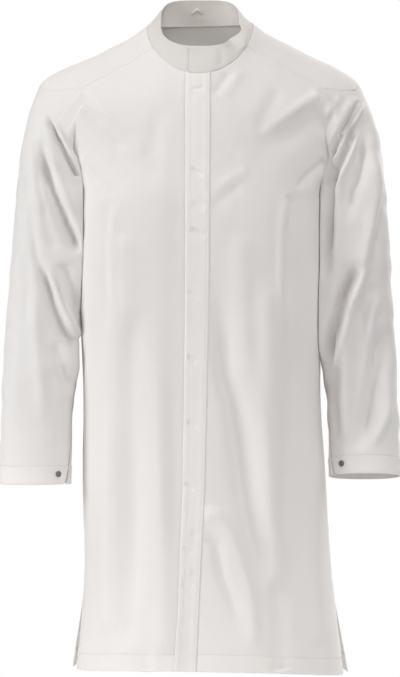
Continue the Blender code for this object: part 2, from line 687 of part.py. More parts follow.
# ---- studs and hanger loop ----------------------------------------------------------------
def stud_place(side):
    """Centre and outward direction of the press stud's cap on one cuff."""
    seam = len(SLEEVE) - 1
    grid = sleeve_sheet(side, [seam + STUD_ROW - 0.1, seam + STUD_ROW, seam + STUD_ROW + 0.1])
    column = int(STUD_COLUMN)
    share = STUD_COLUMN - column
    upper, middle, lower = [line[column].lerp(line[column + 1], share) for line in grid]
    outward = (grid[1][column + 1] - grid[1][column]).cross(lower - upper).normalized()
    if outward.y > 0.0:
        outward = -outward
    return middle + outward * STUD_CLEAR, outward


def stud_object(side, material, collection):
    """A turned cap with a raised ring and a dished middle."""
    build = bmesh.new()
    points = [build.verts.new((radius * STUD_RADIUS, 0.0, height * STUD_HEIGHT))
              for radius, height in STUD_PROFILE]
    for start, end in zip(points, points[1:]):
        build.edges.new((start, end))
    mesh = bpy.data.meshes.new("cuff_stud_" + side)
    build.to_mesh(mesh)
    build.free()
    piece = link_object("cuff_stud_" + side, mesh, material, collection)
    turn = piece.modifiers.new("turn", "SCREW")
    turn.axis = "Z"
    turn.steps = STUD_SIDES
    turn.render_steps = STUD_SIDES
    turn.use_merge_vertices = True
    turn.merge_threshold = 0.0001
    centre, outward = stud_place(side)
    piece.location = centre
    piece.rotation_euler = outward.to_track_quat("Z", "Y").to_euler()
    return piece


def loop_grid():
    """The hanger loop: a narrow tape standing off the collar's inner face as a low arch."""
    grid = []
    for i in range(LOOP_STEPS + 1):
        share = i / LOOP_STEPS
        x = LOOP_MIDDLE_X + LOOP_SPAN * (share - 0.5)
        rise = math.sin(math.pi * share)
        height = LOOP_FOOT + LOOP_RISE * rise
        angle = solve(lambda a: collar_point(a, height).x, x, -120.0, -60.0)
        outer = collar_point(angle, height)
        outer.y -= COLLAR_WALL + LOOP_CLEAR + LOOP_STAND * rise
        slope = LOOP_SLOPE * math.cos(math.pi * share)
        side = Vector((-slope, 0.0, 1.0)).normalized() * (0.5 * LOOP_WIDTH)
        grid.append([outer - side, outer + side])
    return grid


# ---- making the objects ---------------------------------------------------------------------
def clear_scene():
    for old in list(bpy.data.objects):
        bpy.data.objects.remove(old, do_unlink=True)


def make_material(name, colour, roughness, metallic):
    material = bpy.data.materials.new(name)
    material.use_nodes = True
    shader = material.node_tree.nodes["Principled BSDF"]
    shader.inputs["Base Color"].default_value = colour
    shader.inputs["Roughness"].default_value = roughness
    shader.inputs["Metallic"].default_value = metallic
    return material


def link_object(name, mesh, material, collection):
    piece = bpy.data.objects.new(name, mesh)
    mesh.materials.append(material)
    collection.objects.link(piece)
    return piece


def add_wall(piece, thickness):
    """Give an open sheet its wall, inwards from its outer face."""
    wall = piece.modifiers.new("wall", "SOLIDIFY")
    wall.thickness = thickness
    wall.offset = -1.0
    wall.use_rim = True
    return piece


def sheet_object(name, grid, thickness, material, collection, flip=False, joined_rows=0):
    """An open sheet of quads with Solidify; joined_rows close it into a tube from the top."""
    build = bmesh.new()
    rows = [[build.verts.new(point) for point in row] for row in grid]
    for j in range(joined_rows):
        build.verts.remove(rows[j][-1])
        rows[j][-1] = rows[j][0]
    for j in range(len(rows) - 1):
        for i in range(len(rows[0]) - 1):
            corners = [rows[j][i], rows[j][i + 1], rows[j + 1][i + 1], rows[j + 1][i]]
            build.faces.new(list(reversed(corners)) if flip else corners)
    mesh = bpy.data.meshes.new(name)
    build.to_mesh(mesh)
    build.free()
    mesh.shade_smooth()
    piece = link_object(name, mesh, material, collection)
    return add_wall(piece, thickness)


def build_coat():
    clear_scene()
    collection = bpy.data.collections.new("dust_coat")
    bpy.context.scene.collection.children.link(collection)

    def cloth(name):
        return make_material(name + "_cloth", CLOTH_COLOUR, 0.82, 0.0)

    panels = (
        ("front_left", front_grid("left"), PANEL_WALL),
        ("front_right", front_grid("right"), PANEL_WALL),
        ("back", back_grid(), PANEL_WALL),
        ("yoke", yoke_grid(), PANEL_WALL),
        ("placket_band", placket_grid(), BAND_WALL),
        ("collar", collar_grid(), COLLAR_WALL),
    )
    for name, grid, wall in panels:
        sheet_object(name, grid, wall, cloth(name), collection)
    for side in ("left", "right"):
        flip = side == "left"
        sheet_object("sleeve_" + side, sleeve_grid(side), PANEL_WALL, cloth("sleeve_" + side),
                     collection, flip=flip, joined_rows=VENT_TOP_ROW + 1)
        sheet_object("cuff_" + side, cuff_grid(side), CUFF_WALL, cloth("cuff_" + side),
                     collection, flip=flip)
        stud_object(side, make_material("stud_metal_" + side, METAL_COLOUR, 0.35, 1.0), collection)
    sheet_object("hanger_loop", loop_grid(), LOOP_WALL, cloth("hanger_loop"), collection)


build_coat()
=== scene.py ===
"""Dresses the dust coat: fine cloth over its solids, with seams, creases, stitching and studs.

Metres, +Z up. The coat faces -Y and the wearer's left is +X. Every body panel is cut from one
surface given by an angle round the body (0 the wearer's left, 90 the front, 180 the right, -90
the back) and a level, which is a row number of the body's table of sections.
"""

from __future__ import annotations

import json
import logging
import math
from dataclasses import dataclass, field
from enum import Enum

import bpy
import numpy as np
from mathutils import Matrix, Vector

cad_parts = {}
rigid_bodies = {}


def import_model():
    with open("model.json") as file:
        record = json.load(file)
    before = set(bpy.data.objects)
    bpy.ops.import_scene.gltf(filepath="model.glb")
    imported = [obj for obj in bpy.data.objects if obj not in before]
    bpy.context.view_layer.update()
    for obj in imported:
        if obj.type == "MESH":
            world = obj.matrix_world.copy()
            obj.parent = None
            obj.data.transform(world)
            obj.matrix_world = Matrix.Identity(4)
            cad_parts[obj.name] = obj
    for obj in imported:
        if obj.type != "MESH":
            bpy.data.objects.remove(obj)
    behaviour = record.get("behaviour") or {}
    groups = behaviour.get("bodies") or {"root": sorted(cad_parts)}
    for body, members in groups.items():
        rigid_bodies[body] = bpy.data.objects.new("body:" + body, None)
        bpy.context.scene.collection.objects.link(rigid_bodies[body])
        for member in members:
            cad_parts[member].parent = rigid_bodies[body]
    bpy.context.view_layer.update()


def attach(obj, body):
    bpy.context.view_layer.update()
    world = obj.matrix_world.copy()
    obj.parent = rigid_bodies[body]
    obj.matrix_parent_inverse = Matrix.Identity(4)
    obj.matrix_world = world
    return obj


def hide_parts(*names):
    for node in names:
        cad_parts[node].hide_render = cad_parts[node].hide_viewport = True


Array = np.ndarray
Pair = tuple[float, float]
Pairs = tuple[Pair, ...]
Place = tuple[float, float, float]
Line = tuple[Array, Array]
Stages = tuple[tuple[float, Pairs], ...]
Piece = bpy.types.Object
Material = bpy.types.Material
LOG = logging.getLogger("dust_coat")

SEAM_REACH = 0.0016          # how far an upper layer runs on over its neighbour
SEAM_DIP = 0.0007            # how far a lower layer is drawn in beneath it
SEAM_LIFT = 0.0005           # how far the upper layer stands up beside the seam
SEAM_ROLL = 0.0004           # how far a cut edge is rolled back
LIFT_FADE = (0.0065, 0.006)   # where the lift starts to fade, and over what width
SINK_FADE = (0.0013, 0.0020)  # the same for the lower layer's dip
EDGE_ROUND = 0.0011          # the width of a rolled edge
GROOVE_WIDTH = 0.0008        # half the width of the line that stitches press in
PUCKER_DEPTH = 0.00032       # how deep the puckers beside the stitches are
PUCKER_REACH = 0.0080        # and how far they spread
REACH_SHARES = (0.35, 0.65, 0.85, 1.0)    # where a reach past a seam gets its rows
# how far the close stations lie from a sewn end
FINE_STEPS = (0.0004, 0.0009, 0.0015, 0.0022, 0.0030, 0.0037, 0.0043, 0.0049, 0.0055, 0.0061,
              0.0070, 0.0085, 0.0105)
HEM_ROW_STEP = 0.0006        # the share between the close rows at the hem's stitching
SIDE_STEPS = 20.0            # the steps of a panel's outer edge up to the underarm,
BACK_STEPS = 26.0            # up to the yoke at the back or the saddle in front,
FRONT_STEPS = 32.0           # and up to the neck
TABLE_ROWS = 2201            # the rows of the tables that turn heights into levels


# ---- small tools ----
class Side(Enum):
    """The wearer's left or right."""

    LEFT = "left"
    RIGHT = "right"


class Edge(Enum):
    """One side of a grid of cloth points."""

    FIRST_ROW = "first_row"
    LAST_ROW = "last_row"
    FIRST_COLUMN = "first_column"
    LAST_COLUMN = "last_column"

    @property
    def axis(self) -> int:
        """The axis that runs away from the side: 0 for rows, 1 for columns."""
        return 0 if self in (Edge.FIRST_ROW, Edge.LAST_ROW) else 1

    @property
    def first(self) -> bool:
        """Whether the side is the one at the start of its axis."""
        return self in (Edge.FIRST_ROW, Edge.FIRST_COLUMN)


def smooth(value: Array | float) -> Array:
    """A soft step from 0 below 0 to 1 above 1."""
    clipped = np.clip(value, 0.0, 1.0)
    return clipped * clipped * (3.0 - 2.0 * clipped)


def window(value: Array | float, *ramps: Pair) -> Array:
    """The product of soft steps, each with its start and its width, below 0 for a step down."""
    return math.prod(smooth((value - start) / width) for start, width in ramps)


def signed_power(value: Array, power: float | Array) -> Array:
    """The power of a number's size, with its sign kept."""
    return np.sign(value) * np.abs(value) ** power


def spline(points: Array, position: Array) -> Array:
    """Catmull-Rom through equally numbered rows.

    Args:
        points: the rows, of any shape after the first axis.
        position: fractional row numbers, of any shape.

    Returns:
        One row's worth of values for each position.
    """
    points = np.asarray(points, float)
    position = np.asarray(position, float)
    last = len(points) - 1
    start = np.clip(np.floor(position), 0, last - 1).astype(int)
    local = (position - start).reshape(position.shape + (1,) * (points.ndim - 1))
    rows = [points[np.clip(start + step, 0, last)] for step in (-1, 0, 1, 2)]
    return blend_rows(rows, local)


def blend_rows(rows: list[Array], local: Array) -> Array:
    """Catmull-Rom's weighted sum of four neighbouring rows.

    Args:
        rows: the row before, the two on either side, and the row after.
        local: how far along each place is between the middle two.

    Returns:
        The values there.
    """
    weights = (-0.5 * local + local ** 2 - 0.5 * local ** 3,
               1.0 - 2.5 * local ** 2 + 1.5 * local ** 3,
               0.5 * local + 2.0 * local ** 2 - 1.5 * local ** 3,
               -0.5 * local ** 2 + 0.5 * local ** 3)
    return sum(weight * row for weight, row in zip(weights, rows))


def even(points: Pairs, share: Array) -> Array:
    """Points along a short list of seam points; share runs from 0 to 1."""
    return spline(np.array(points, float), np.asarray(share) * (len(points) - 1))


def chain(place: Array, stages: Stages, start: float = 0.0) -> Array:
    """Points along seams that follow one another.

    Args:
        place: where each point lies along the whole.
        stages: the place at which each seam ends, and the seam.
        start: the place at which the first seam starts.

    Returns:
        One (angle, level) for each place, and 0 for those before the start.
    """
    edge = np.zeros((len(place), 2))
    for end, points in stages:
        part = even(points, np.clip((place - start) / (end - start), 0.0, 1.0))
        edge = np.where((place >= start)[:, None], part, edge)
        start = end
    return edge


def unit(vectors: Array) -> Array:
    """Vectors made one metre long."""
    return vectors / np.maximum(np.linalg.norm(vectors, axis=-1, keepdims=True), 1e-12)


def travelled(points: Array) -> Array:
    """How far along a line of points each one lies, in metres."""
    return np.concatenate([[0.0], np.cumsum(np.linalg.norm(np.diff(points, axis=0), axis=1))])


def grid_normals(grid: Array, joined: int = 0) -> Array:
    """Normals of a grid of points, on the side from which rows and columns turn leftwards.

    Args:
        grid: points, rows by columns.
        joined: how many of the first rows meet round a tube.

    Returns:
        A unit normal for each point.
    """
    along = np.gradient(grid, axis=0)
    across = np.gradient(grid, axis=1)
    if joined:
        across[:joined, 0] = across[:joined, -1] = 0.5 * (grid[:joined, 1] - grid[:joined, -2])
    return unit(np.cross(across, along))


def ripple(x: Array, z: Array, size: float, seed: int) -> Array:
    """Soft noise between about -1 and 1 over a plane.

    Args:
        x, z: places in metres.
        size: the distance between its bumps in metres.
        seed: picks one pattern.

    Returns:
        The noise at each place.
    """
    lattice = np.random.default_rng(seed).uniform(-1.0, 1.0, (64, 64))
    u, v = x / size + 20.3, z / size + 31.7
    iu, iv = np.floor(u).astype(int), np.floor(v).astype(int)
    fu, fv = smooth(u - iu), smooth(v - iv)
    corner = {(i, j): lattice[(iu + i) % 64, (iv + j) % 64] for i in (0, 1) for j in (0, 1)}
    low = corner[0, 0] * (1 - fu) + corner[1, 0] * fu
    high = corner[0, 1] * (1 - fu) + corner[1, 1] * fu
    return low * (1 - fv) + high * fv


def stations(length: float, spacing: float, fine_start: bool = True, fine_end: bool = True
             ) -> Array:
    """Shares from 0 to 1 along an edge, closer together near a sewn end.

    Args:
        length: the edge's length in metres.
        spacing: the plain distance between stations in metres.
        fine_start, fine_end: which ends get the close stations.

    Returns:
        Rising shares, the first 0 and the last 1.
    """
    low = [0.0, *FINE_STEPS] if fine_start else [0.0]
    high = [length, *(length - step for step in FINE_STEPS)] if fine_end else [length]
    inner = max(max(low) + spacing, 0.0), min(high) - spacing
    count = max(2, int(round((inner[1] - inner[0]) / spacing)) + 1)
    return np.array(sorted({*low, *np.linspace(inner[0], inner[1], count), *high})) / length


def with_hem_rows(shares: Array, low: float, high: float) -> Array:
    """The same shares with close ones added where the hem is stitched."""
    return np.unique(np.concatenate([shares, np.arange(low, high, HEM_ROW_STEP)]))


def link(name: str, data: bpy.types.ID) -> Piece:
    """Puts a mesh, lamp or camera into the scene.

    Args:
        name: the new object's name.
        data: what it shows.

    Returns:
        The object.
    """
    item = bpy.data.objects.new(name, data)
    bpy.context.scene.collection.objects.link(item)
    return item


# ---- creases ----
@dataclass(frozen=True)
class Crease:
    """One soft fold, laid over the cloth along a line seen from the front or the back.

    The line runs through (x, z) points. A depth below 0 is a trough. left and right are its
    half-widths on either hand as one goes along the line, and lip raises a ridge beside it, on
    the left for a share above 0 and on the right for one below. start and end are the shares of
    the line over which it grows and fades.
    """

    path: Pairs
    depth: float
    left: float = 0.012
    right: float = 0.012
    lip: float = 0.0
    start: float = 0.25
    end: float = 0.25

    def push(self, x: Array, z: Array) -> Array:
        """How far the fold moves the cloth out.

        Args:
            x, z: places on the cloth, in metres.

        Returns:
            The move at each place, in metres.
        """
        count = 10 * (len(self.path) - 1)
        line = spline(np.array(self.path), np.linspace(0.0, len(self.path) - 1, count + 1))
        reach = 4.0 * max(self.left, self.right)
        low, high = line.min(axis=0) - reach, line.max(axis=0) + reach
        near = (x > low[0]) & (x < high[0]) & (z > low[1]) & (z < high[1])
        result = np.zeros_like(x)
        if not near.any():
            return result
        place = np.stack([x[near], z[near]], axis=-1)
        gap = np.full(len(place), 1e9)
        hand = np.zeros(len(place))
        along = np.zeros(len(place))
        for index in range(count):
            run = line[index + 1] - line[index]
            offset = place - line[index]
            share = np.clip(offset @ run / (run @ run), 0.0, 1.0)
            away = offset - share[:, None] * run
            distance = np.hypot(away[:, 0], away[:, 1])
            closer = distance < gap
            gap = np.where(closer, distance, gap)
            turn = run[0] * away[:, 1] - run[1] * away[:, 0]
            hand = np.where(closer, np.sign(turn), hand)
            along = np.where(closer, (index + share) / count, along)
        width = np.where(hand > 0, self.left, self.right)
        uneven = 1.0 + 0.25 * ripple(along * 0.2, along * 0.0 + self.path[0][0], 0.035, 5)
        ends = smooth(along / self.start) * smooth((1.0 - along) / self.end)
        shape = np.exp(-(gap / width) ** 2)
        if self.lip:
            crest = np.exp(-((gap - 1.9 * width) / (0.95 * width)) ** 2)
            shape = shape - abs(self.lip) * crest * (hand * self.lip > 0)
        result[near] = self.depth * ends * uneven * shape
        return result


def push_all(folds: tuple[Crease, ...], x: Array, z: Array) -> Array:
    """The sum of many creases at each place."""
    return sum((crease.push(x, z) for crease in folds), np.zeros_like(x))


def creases(*rows: tuple) -> tuple[Crease, ...]:
    """Creases from rows of a path, a depth and the other sizes in their order."""
    return tuple(Crease(*row) for row in rows)


FRONT_CREASES = creases(
    # the long fold below the fly on the wearer's left, and the ridge and small fold by the hem
    (((.018, -.4), (.033, -.484), (.037, -.546), (.051, -.6), (.062, -.67), (.073, -.747),
      (.087, -.809), (.1, -.85), (.11, -.87)), -.0128, .019, .0125, .38, .22, .32),
    (((.004, -.806), (.022, -.815), (.029, -.84), (.036, -.872), (.05, -.903), (.06, -.93)),
     -.0055, .008, .006, .35),
    (((.004, -.772), (.023, -.768), (.044, -.79), (.062, -.84), (.078, -.902), (.086, -.985)),
     .0075, .01, .014, 0, .15, .15),
    (((.104, -.4), (.103, -.5), (.101, -.62), (.106, -.8)), .006, .02, .016),
    (((.143, -.46), (.145, -.6), (.139, -.76), (.146, -.92)), -.008, .022, .016, -.35),
    # pulls from the shoulder and the front of the chest
    (((.19, -.112), (.155, -.136), (.124, -.159), (.08, -.188)), .0055, .009, .01, 0, .1, .6),
    (((.2, -.146), (.16, -.166), (.12, -.192), (.07, -.228)), -.007, .018, .028, 0, .15, .65),
    (((.05, -.078), (.04, -.092), (.031, -.105), (.019, -.12)), -.002, .008, .008),
    (((.068, -.072), (.05, -.1), (.035, -.125)), .0018, .009, .01, 0, .4, .4),
    (((.016, -.278), (.039, -.256), (.06, -.242), (.078, -.236)), .0018, .008, .01),
    (((.014, -.3), (.04, -.276), (.066, -.262)), -.0016, .008, .011),
    (((.128, -.105), (.105, -.14), (.09, -.18)), -.0028, .012, .012),
    (((-.178, -.114), (-.145, -.148), (-.108, -.184), (-.08, -.214)), .0042, .011, .012),
    (((-.186, -.132), (-.15, -.168), (-.114, -.204)), -.0045, .01, .012, -.25),
    (((-.06, -.13), (-.072, -.19), (-.07, -.26)), -.0026, .014, .014),
    # darts that end below the chest, with the hang of the cloth under them
    (((.196, -.218), (.178, -.233), (.162, -.249), (.15, -.267)), -.004, .0045, .005, 0, .05, .3),
    (((.205, -.23), (.182, -.25), (.16, -.282)), .0034, .01, .01, 0, .1, .35),
    (((.134, -.274), (.145, -.292)), -.0026, .005, .005),
    (((.15, -.262), (.141, -.32), (.139, -.4), (.142, -.5)), -.0052, .016, .007, -.5),
    (((-.188, -.22), (-.162, -.252), (-.148, -.279)), -.0022, .005, .0045, 0, .3, .35),
    (((-.184, -.208), (-.154, -.24), (-.138, -.272)), .0028, .009, .01, 0, .1, .35),
    (((-.196, -.116), (-.176, -.14), (-.154, -.168)), -.005, .01, .012, 0, .15, .35),
    (((-.141, -.278), (-.149, -.33), (-.15, -.41), (-.146, -.5)), -.0048, .007, .016, .5),
    # the long soft columns that hang to the hem
    (((-.104, -.44), (-.108, -.58), (-.106, -.76), (-.11, -.98)), -.008, .018, .02, .3, .3, .1),
    (((-.064, -.5), (-.061, -.68), (-.056, -.84), (-.052, -.99)), .0062, .018, .014, 0, .3, .1),
    (((-.14, -.6), (-.141, -.76), (-.146, -.96)), .0056, .016, .018, 0, .3, .1),
    (((-.168, -.44), (-.166, -.6), (-.172, -.78)), -.006, .016, .014, 0),
    (((.172, -.62), (.176, -.78), (.186, -.98)), .0056, .016, .016, 0, .3, .1),
    (((.116, -.86), (.122, -.93), (.126, -1.01)), -.005, .014, .014, 0, .4, .05),
    (((-.08, -.88), (-.084, -.94), (-.082, -1.01)), -.003, .012, .012, 0, .4, .05),
    (((-.122, -.33), (-.12, -.42), (-.124, -.52)), .0034, .018, .018),
    (((.06, -.33), (.064, -.42), (.07, -.52)), .0034, .02, .016),
)
FLY_MARKS = creases(
    # short pulls where the hidden studs hold the two fronts together
    (((-.014, -.108), (-.004, -.108), (.007, -.105)), -.0019, .0032, .0032, 0, .2, .2),
    *((((x, z), (to_x, to_z)), depth, left, right, 0, fade, fade)
      for x, z, to_x, to_z, depth, left, right, fade in (
          (-.014, -.232, .006, -.246, -.002, .003, .0044, .3),
          (-.015, -.326, .009, -.34, -.0025, .0028, .0052, .25),
          (-.02, -.424, -.002, -.436, -.0021, .003, .0044, .3),
          (-.02, -.523, -.004, -.534, -.002, .003, .0044, .3),
          (-.02, -.623, -.003, -.634, -.0021, .003, .0044, .3),
          (-.025, -.719, -.009, -.73, -.0025, .0028, .0048, .25),
          (-.028, -.818, -.012, -.828, -.002, .003, .0044, .3),
          (-.01, -.122, .006, -.122, .0009, .006, .006, .2),
          (-.012, -.286, .009, -.296, -.0012, .007, .009, .3),
          (-.014, -.795, 0, -.8, -.0013, .005, .006, .3),
          (-.026, -.852, -.012, -.858, .0012, .005, .006, .3),
          (-.028, -.872, -.01, -.884, -.0013, .005, .006, .3),
          (-.03, -.926, -.012, -.934, -.001, .005, .006, .3),
      )),
)
BACK_CREASES = creases(
    (((-.05, -.32), (-.064, -.46), (-.076, -.64), (-.088, -.8), (-.094, -.98)),
     -.0125, .018, .022, .35, .25, .1),
    (((.05, -.36), (.058, -.5), (.064, -.66), (.07, -.99)), -.0105, .018, .018, -.3, .25, .1),
    (((-.006, -.44), (.003, -.6), (0, -.8), (-.006, -.98)), .0075, .02, .018, 0, .3, .1),
    (((.142, -.54), (.137, -.7), (.144, -.96)), -.0085, .018, .018, .3, .3, .1),
    (((-.15, -.56), (-.146, -.74), (-.152, -.96)), .007, .018, .016, 0, .3, .1),
    (((.17, -.15), (.136, -.2), (.112, -.27), (.104, -.36)), -.0075, .012, .015, .35),
    (((-.172, -.15), (-.14, -.2), (-.116, -.26), (-.108, -.35)), -.007, .015, .012, -.35),
    (((.15, -.19), (.1, -.22), (.04, -.235)), .004, .012, .012),
    (((-.15, -.19), (-.105, -.225), (-.05, -.24)), .0036, .012, .012),
    (((.176, -.3), (.15, -.36), (.14, -.46)), -.0055, .012, .014, .3),
    (((-.178, -.3), (-.154, -.37), (-.142, -.48)), -.0055, .014, .012, -.3),
    (((-.03, -.86), (-.034, -.93), (-.036, -1.02)), -.0055, .014, .014, 0, .4, .05),
    (((.108, -.84), (.112, -.92), (.11, -1.02)), .005, .014, .016, 0, .4, .05),
    (((.02, -.13), (.016, -.2), (.022, -.29)), -.0024, .014, .014),
)
SLEEVE_CREASES = {
    (Side.LEFT, "front"): creases(
        # pulls that run in from the shoulder to the underarm, the sharpest one last
        (((.218, -.101), (.205, -.119), (.193, -.139)), -.004, .0055, .0055, 0, .15, .25),
        (((.223, -.104), (.209, -.131), (.194, -.155)), .004, .005, .005, 0, .15, .25),
        (((.232, -.112), (.216, -.136), (.199, -.16), (.19, -.171)), -.0045, .006, .006, 0, .15, .2),
        (((.246, -.112), (.229, -.139), (.215, -.164), (.201, -.196)), .005, .01, .009, 0, .15, .2),
        (((.254, -.119), (.242, -.142), (.231, -.163), (.22, -.183), (.21, -.202), (.202, -.218),
          (.199, -.234), (.198, -.253)), -.016, .0038, .005, .38, .1, .15),
        (((.248, -.155), (.24, -.174), (.231, -.196), (.221, -.218), (.213, -.24), (.209, -.262)),
         -.0185, .006, .0072, .45, .25, .2),
        (((.248, -.168), (.239, -.199), (.229, -.224), (.221, -.25), (.215, -.286)),
         .0035, .007, .006, 0, .25, .3),
        (((.262, -.139), (.254, -.175), (.248, -.215), (.239, -.25), (.232, -.286), (.228, -.329)),
         -.015, .013, .011, .2, .25, .3),
        # the long outer ridge, with the hollow outside it and the dark hang inside
        (((.27, -.199), (.275, -.247), (.273, -.281), (.262, -.349), (.246, -.412), (.232, -.468),
          (.229, -.52), (.229, -.6), (.231, -.676)), .0105, .0105, .01, 0, .1, .08),
        (((.291, -.247), (.286, -.302), (.277, -.349), (.267, -.389)), -.0055, .011, .012, 0, .3, .3),
        (((.2035, -.215), (.201, -.262), (.2, -.302), (.1985, -.349), (.1945, -.41)),
         -.025, .0085, .0105, .25, .12, .34),
        # folds at the elbow and along the forearm
        (((.25, -.376), (.239, -.403), (.229, -.427), (.221, -.452), (.215, -.476), (.207, -.499),
          (.201, -.525), (.196, -.544)), -.027, .007, .0118, .36, .18, .15),
        (((.212, -.534), (.21, -.594), (.212, -.657)), -.006, .009, .01, 0, .25, .15),
        (((.275, -.408), (.262, -.435), (.254, -.46), (.25, -.496)), -.005, .008, .008, .3, .2, .3),
        (((.275, -.43), (.27, -.468), (.267, -.507)), .0035, .008, .008, 0, .3, .3),
        (((.292, -.476), (.288, -.507), (.281, -.54), (.269, -.604), (.253, -.668), (.248, -.684)),
         -.017, .011, .013, .25, .25, .08),
        (((.3, -.563), (.294, -.607), (.283, -.638), (.269, -.662), (.254, -.678)),
         .0055, .008, .008, 0, .3, .12),
    ),
    (Side.RIGHT, "front"): creases(
        (((.24, -.145), (.229, -.171), (.218, -.191), (.207, -.212), (.198, -.228), (.19, -.242)),
         -.0165, .0055, .0036, -.28, .16, .1),
        (((.254, -.174), (.248, -.202), (.242, -.223), (.234, -.247), (.228, -.267), (.213, -.305),
          (.205, -.324), (.196, -.343), (.186, -.363)), -.019, .01, .0075, -.25, .3, .12),
        (((.243, -.187), (.231, -.215), (.218, -.247), (.205, -.278), (.193, -.31)), .004, .009, .009),
        (((.264, -.183), (.259, -.215), (.253, -.254), (.248, -.286)), -.003, .005, .0055),
        (((.246, -.259), (.243, -.302), (.235, -.338), (.229, -.36)), -.0035, .0055, .006),
        (((.272, -.286), (.265, -.326), (.259, -.357), (.253, -.392)), -.0055, .0075, .0075),
        (((.253, -.363), (.245, -.398), (.237, -.42), (.231, -.441), (.224, -.46), (.215, -.48),
          (.205, -.493), (.191, -.506)), -.016, .0085, .007, -.3, .25, .1),
        (((.237, -.37), (.224, -.411), (.212, -.449), (.194, -.49)), .0045, .0075, .0075, 0, .2, .15),
        (((.212, -.376), (.204, -.405), (.196, -.436), (.19, -.46)), -.007, .0095, .005, 0, .15, .2),
        (((.231, -.499), (.221, -.525), (.212, -.55), (.204, -.582)),
         -.0065, .008, .0085, -.3, .25, .25),
        (((.278, -.357), (.275, -.412), (.272, -.484)), -.0045, .009, .009, 0, .3, .3),
        (((.262, -.412), (.258, -.484), (.25, -.563), (.246, -.642)), .005, .01, .011, 0, .3, .3),
        (((.212, -.582), (.215, -.634), (.215, -.681)), -.0035, .008, .008, 0, .3, .2),
        (((.284, -.231), (.281, -.262), (.283, -.302)), -.0035, .006, .006, 0, .3, .3),
        (((.294, -.484), (.291, -.563), (.291, -.642)), .003, .01, .01, 0, .3, .3),
    ),
    (Side.LEFT, "back"): creases(
        (((.268, -.15), (.242, -.208), (.212, -.27)), -.008, .01, .01, .4),
        (((.292, -.265), (.264, -.35), (.23, -.41), (.206, -.44)), -.0095, .011, .012, .4),
        (((.298, -.39), (.272, -.462), (.24, -.515), (.214, -.545)), -.0085, .011, .012, .4),
        (((.284, -.3), (.25, -.372), (.212, -.415)), .005, .01, .01),
        (((.246, -.545), (.248, -.6), (.252, -.668)), .006, .013, .013, 0, .3, .1),
        (((.28, -.56), (.276, -.62), (.28, -.67)), -.005, .011, .011),
        (((.236, -.17), (.222, -.22), (.206, -.25)), .004, .009, .009),
    ),
    (Side.RIGHT, "back"): creases(
        (((.272, -.145), (.246, -.205), (.214, -.262)), -.008, .01, .01, .4),
        (((.29, -.25), (.26, -.34), (.226, -.4), (.204, -.426)), -.0095, .012, .011, .4),
        (((.296, -.38), (.27, -.45), (.236, -.504), (.21, -.53)), -.0085, .012, .011, .4),
        (((.286, -.29), (.248, -.365), (.214, -.405)), .005, .01, .01),
        (((.248, -.55), (.25, -.6), (.25, -.668)), .006, .013, .013, 0, .3, .1),
        (((.278, -.57), (.28, -.62), (.278, -.67)), -.005, .011, .011),
    ),
}
COLLAR_CREASES = creases(
    (((.049, .008), (.052, -.022), (.053, -.046)), -.007, .0065, .009, .45, .2, .35),
    (((.066, .002), (.066, -.022), (.064, -.044)), .0024, .006, .006, 0, .25, .3),
    (((.03, -.04), (.034, -.056), (.03, -.074)), -.0016, .006, .006),
    (((-.04, -.012), (-.043, -.034), (-.04, -.056)), -.0012, .008, .008),
)


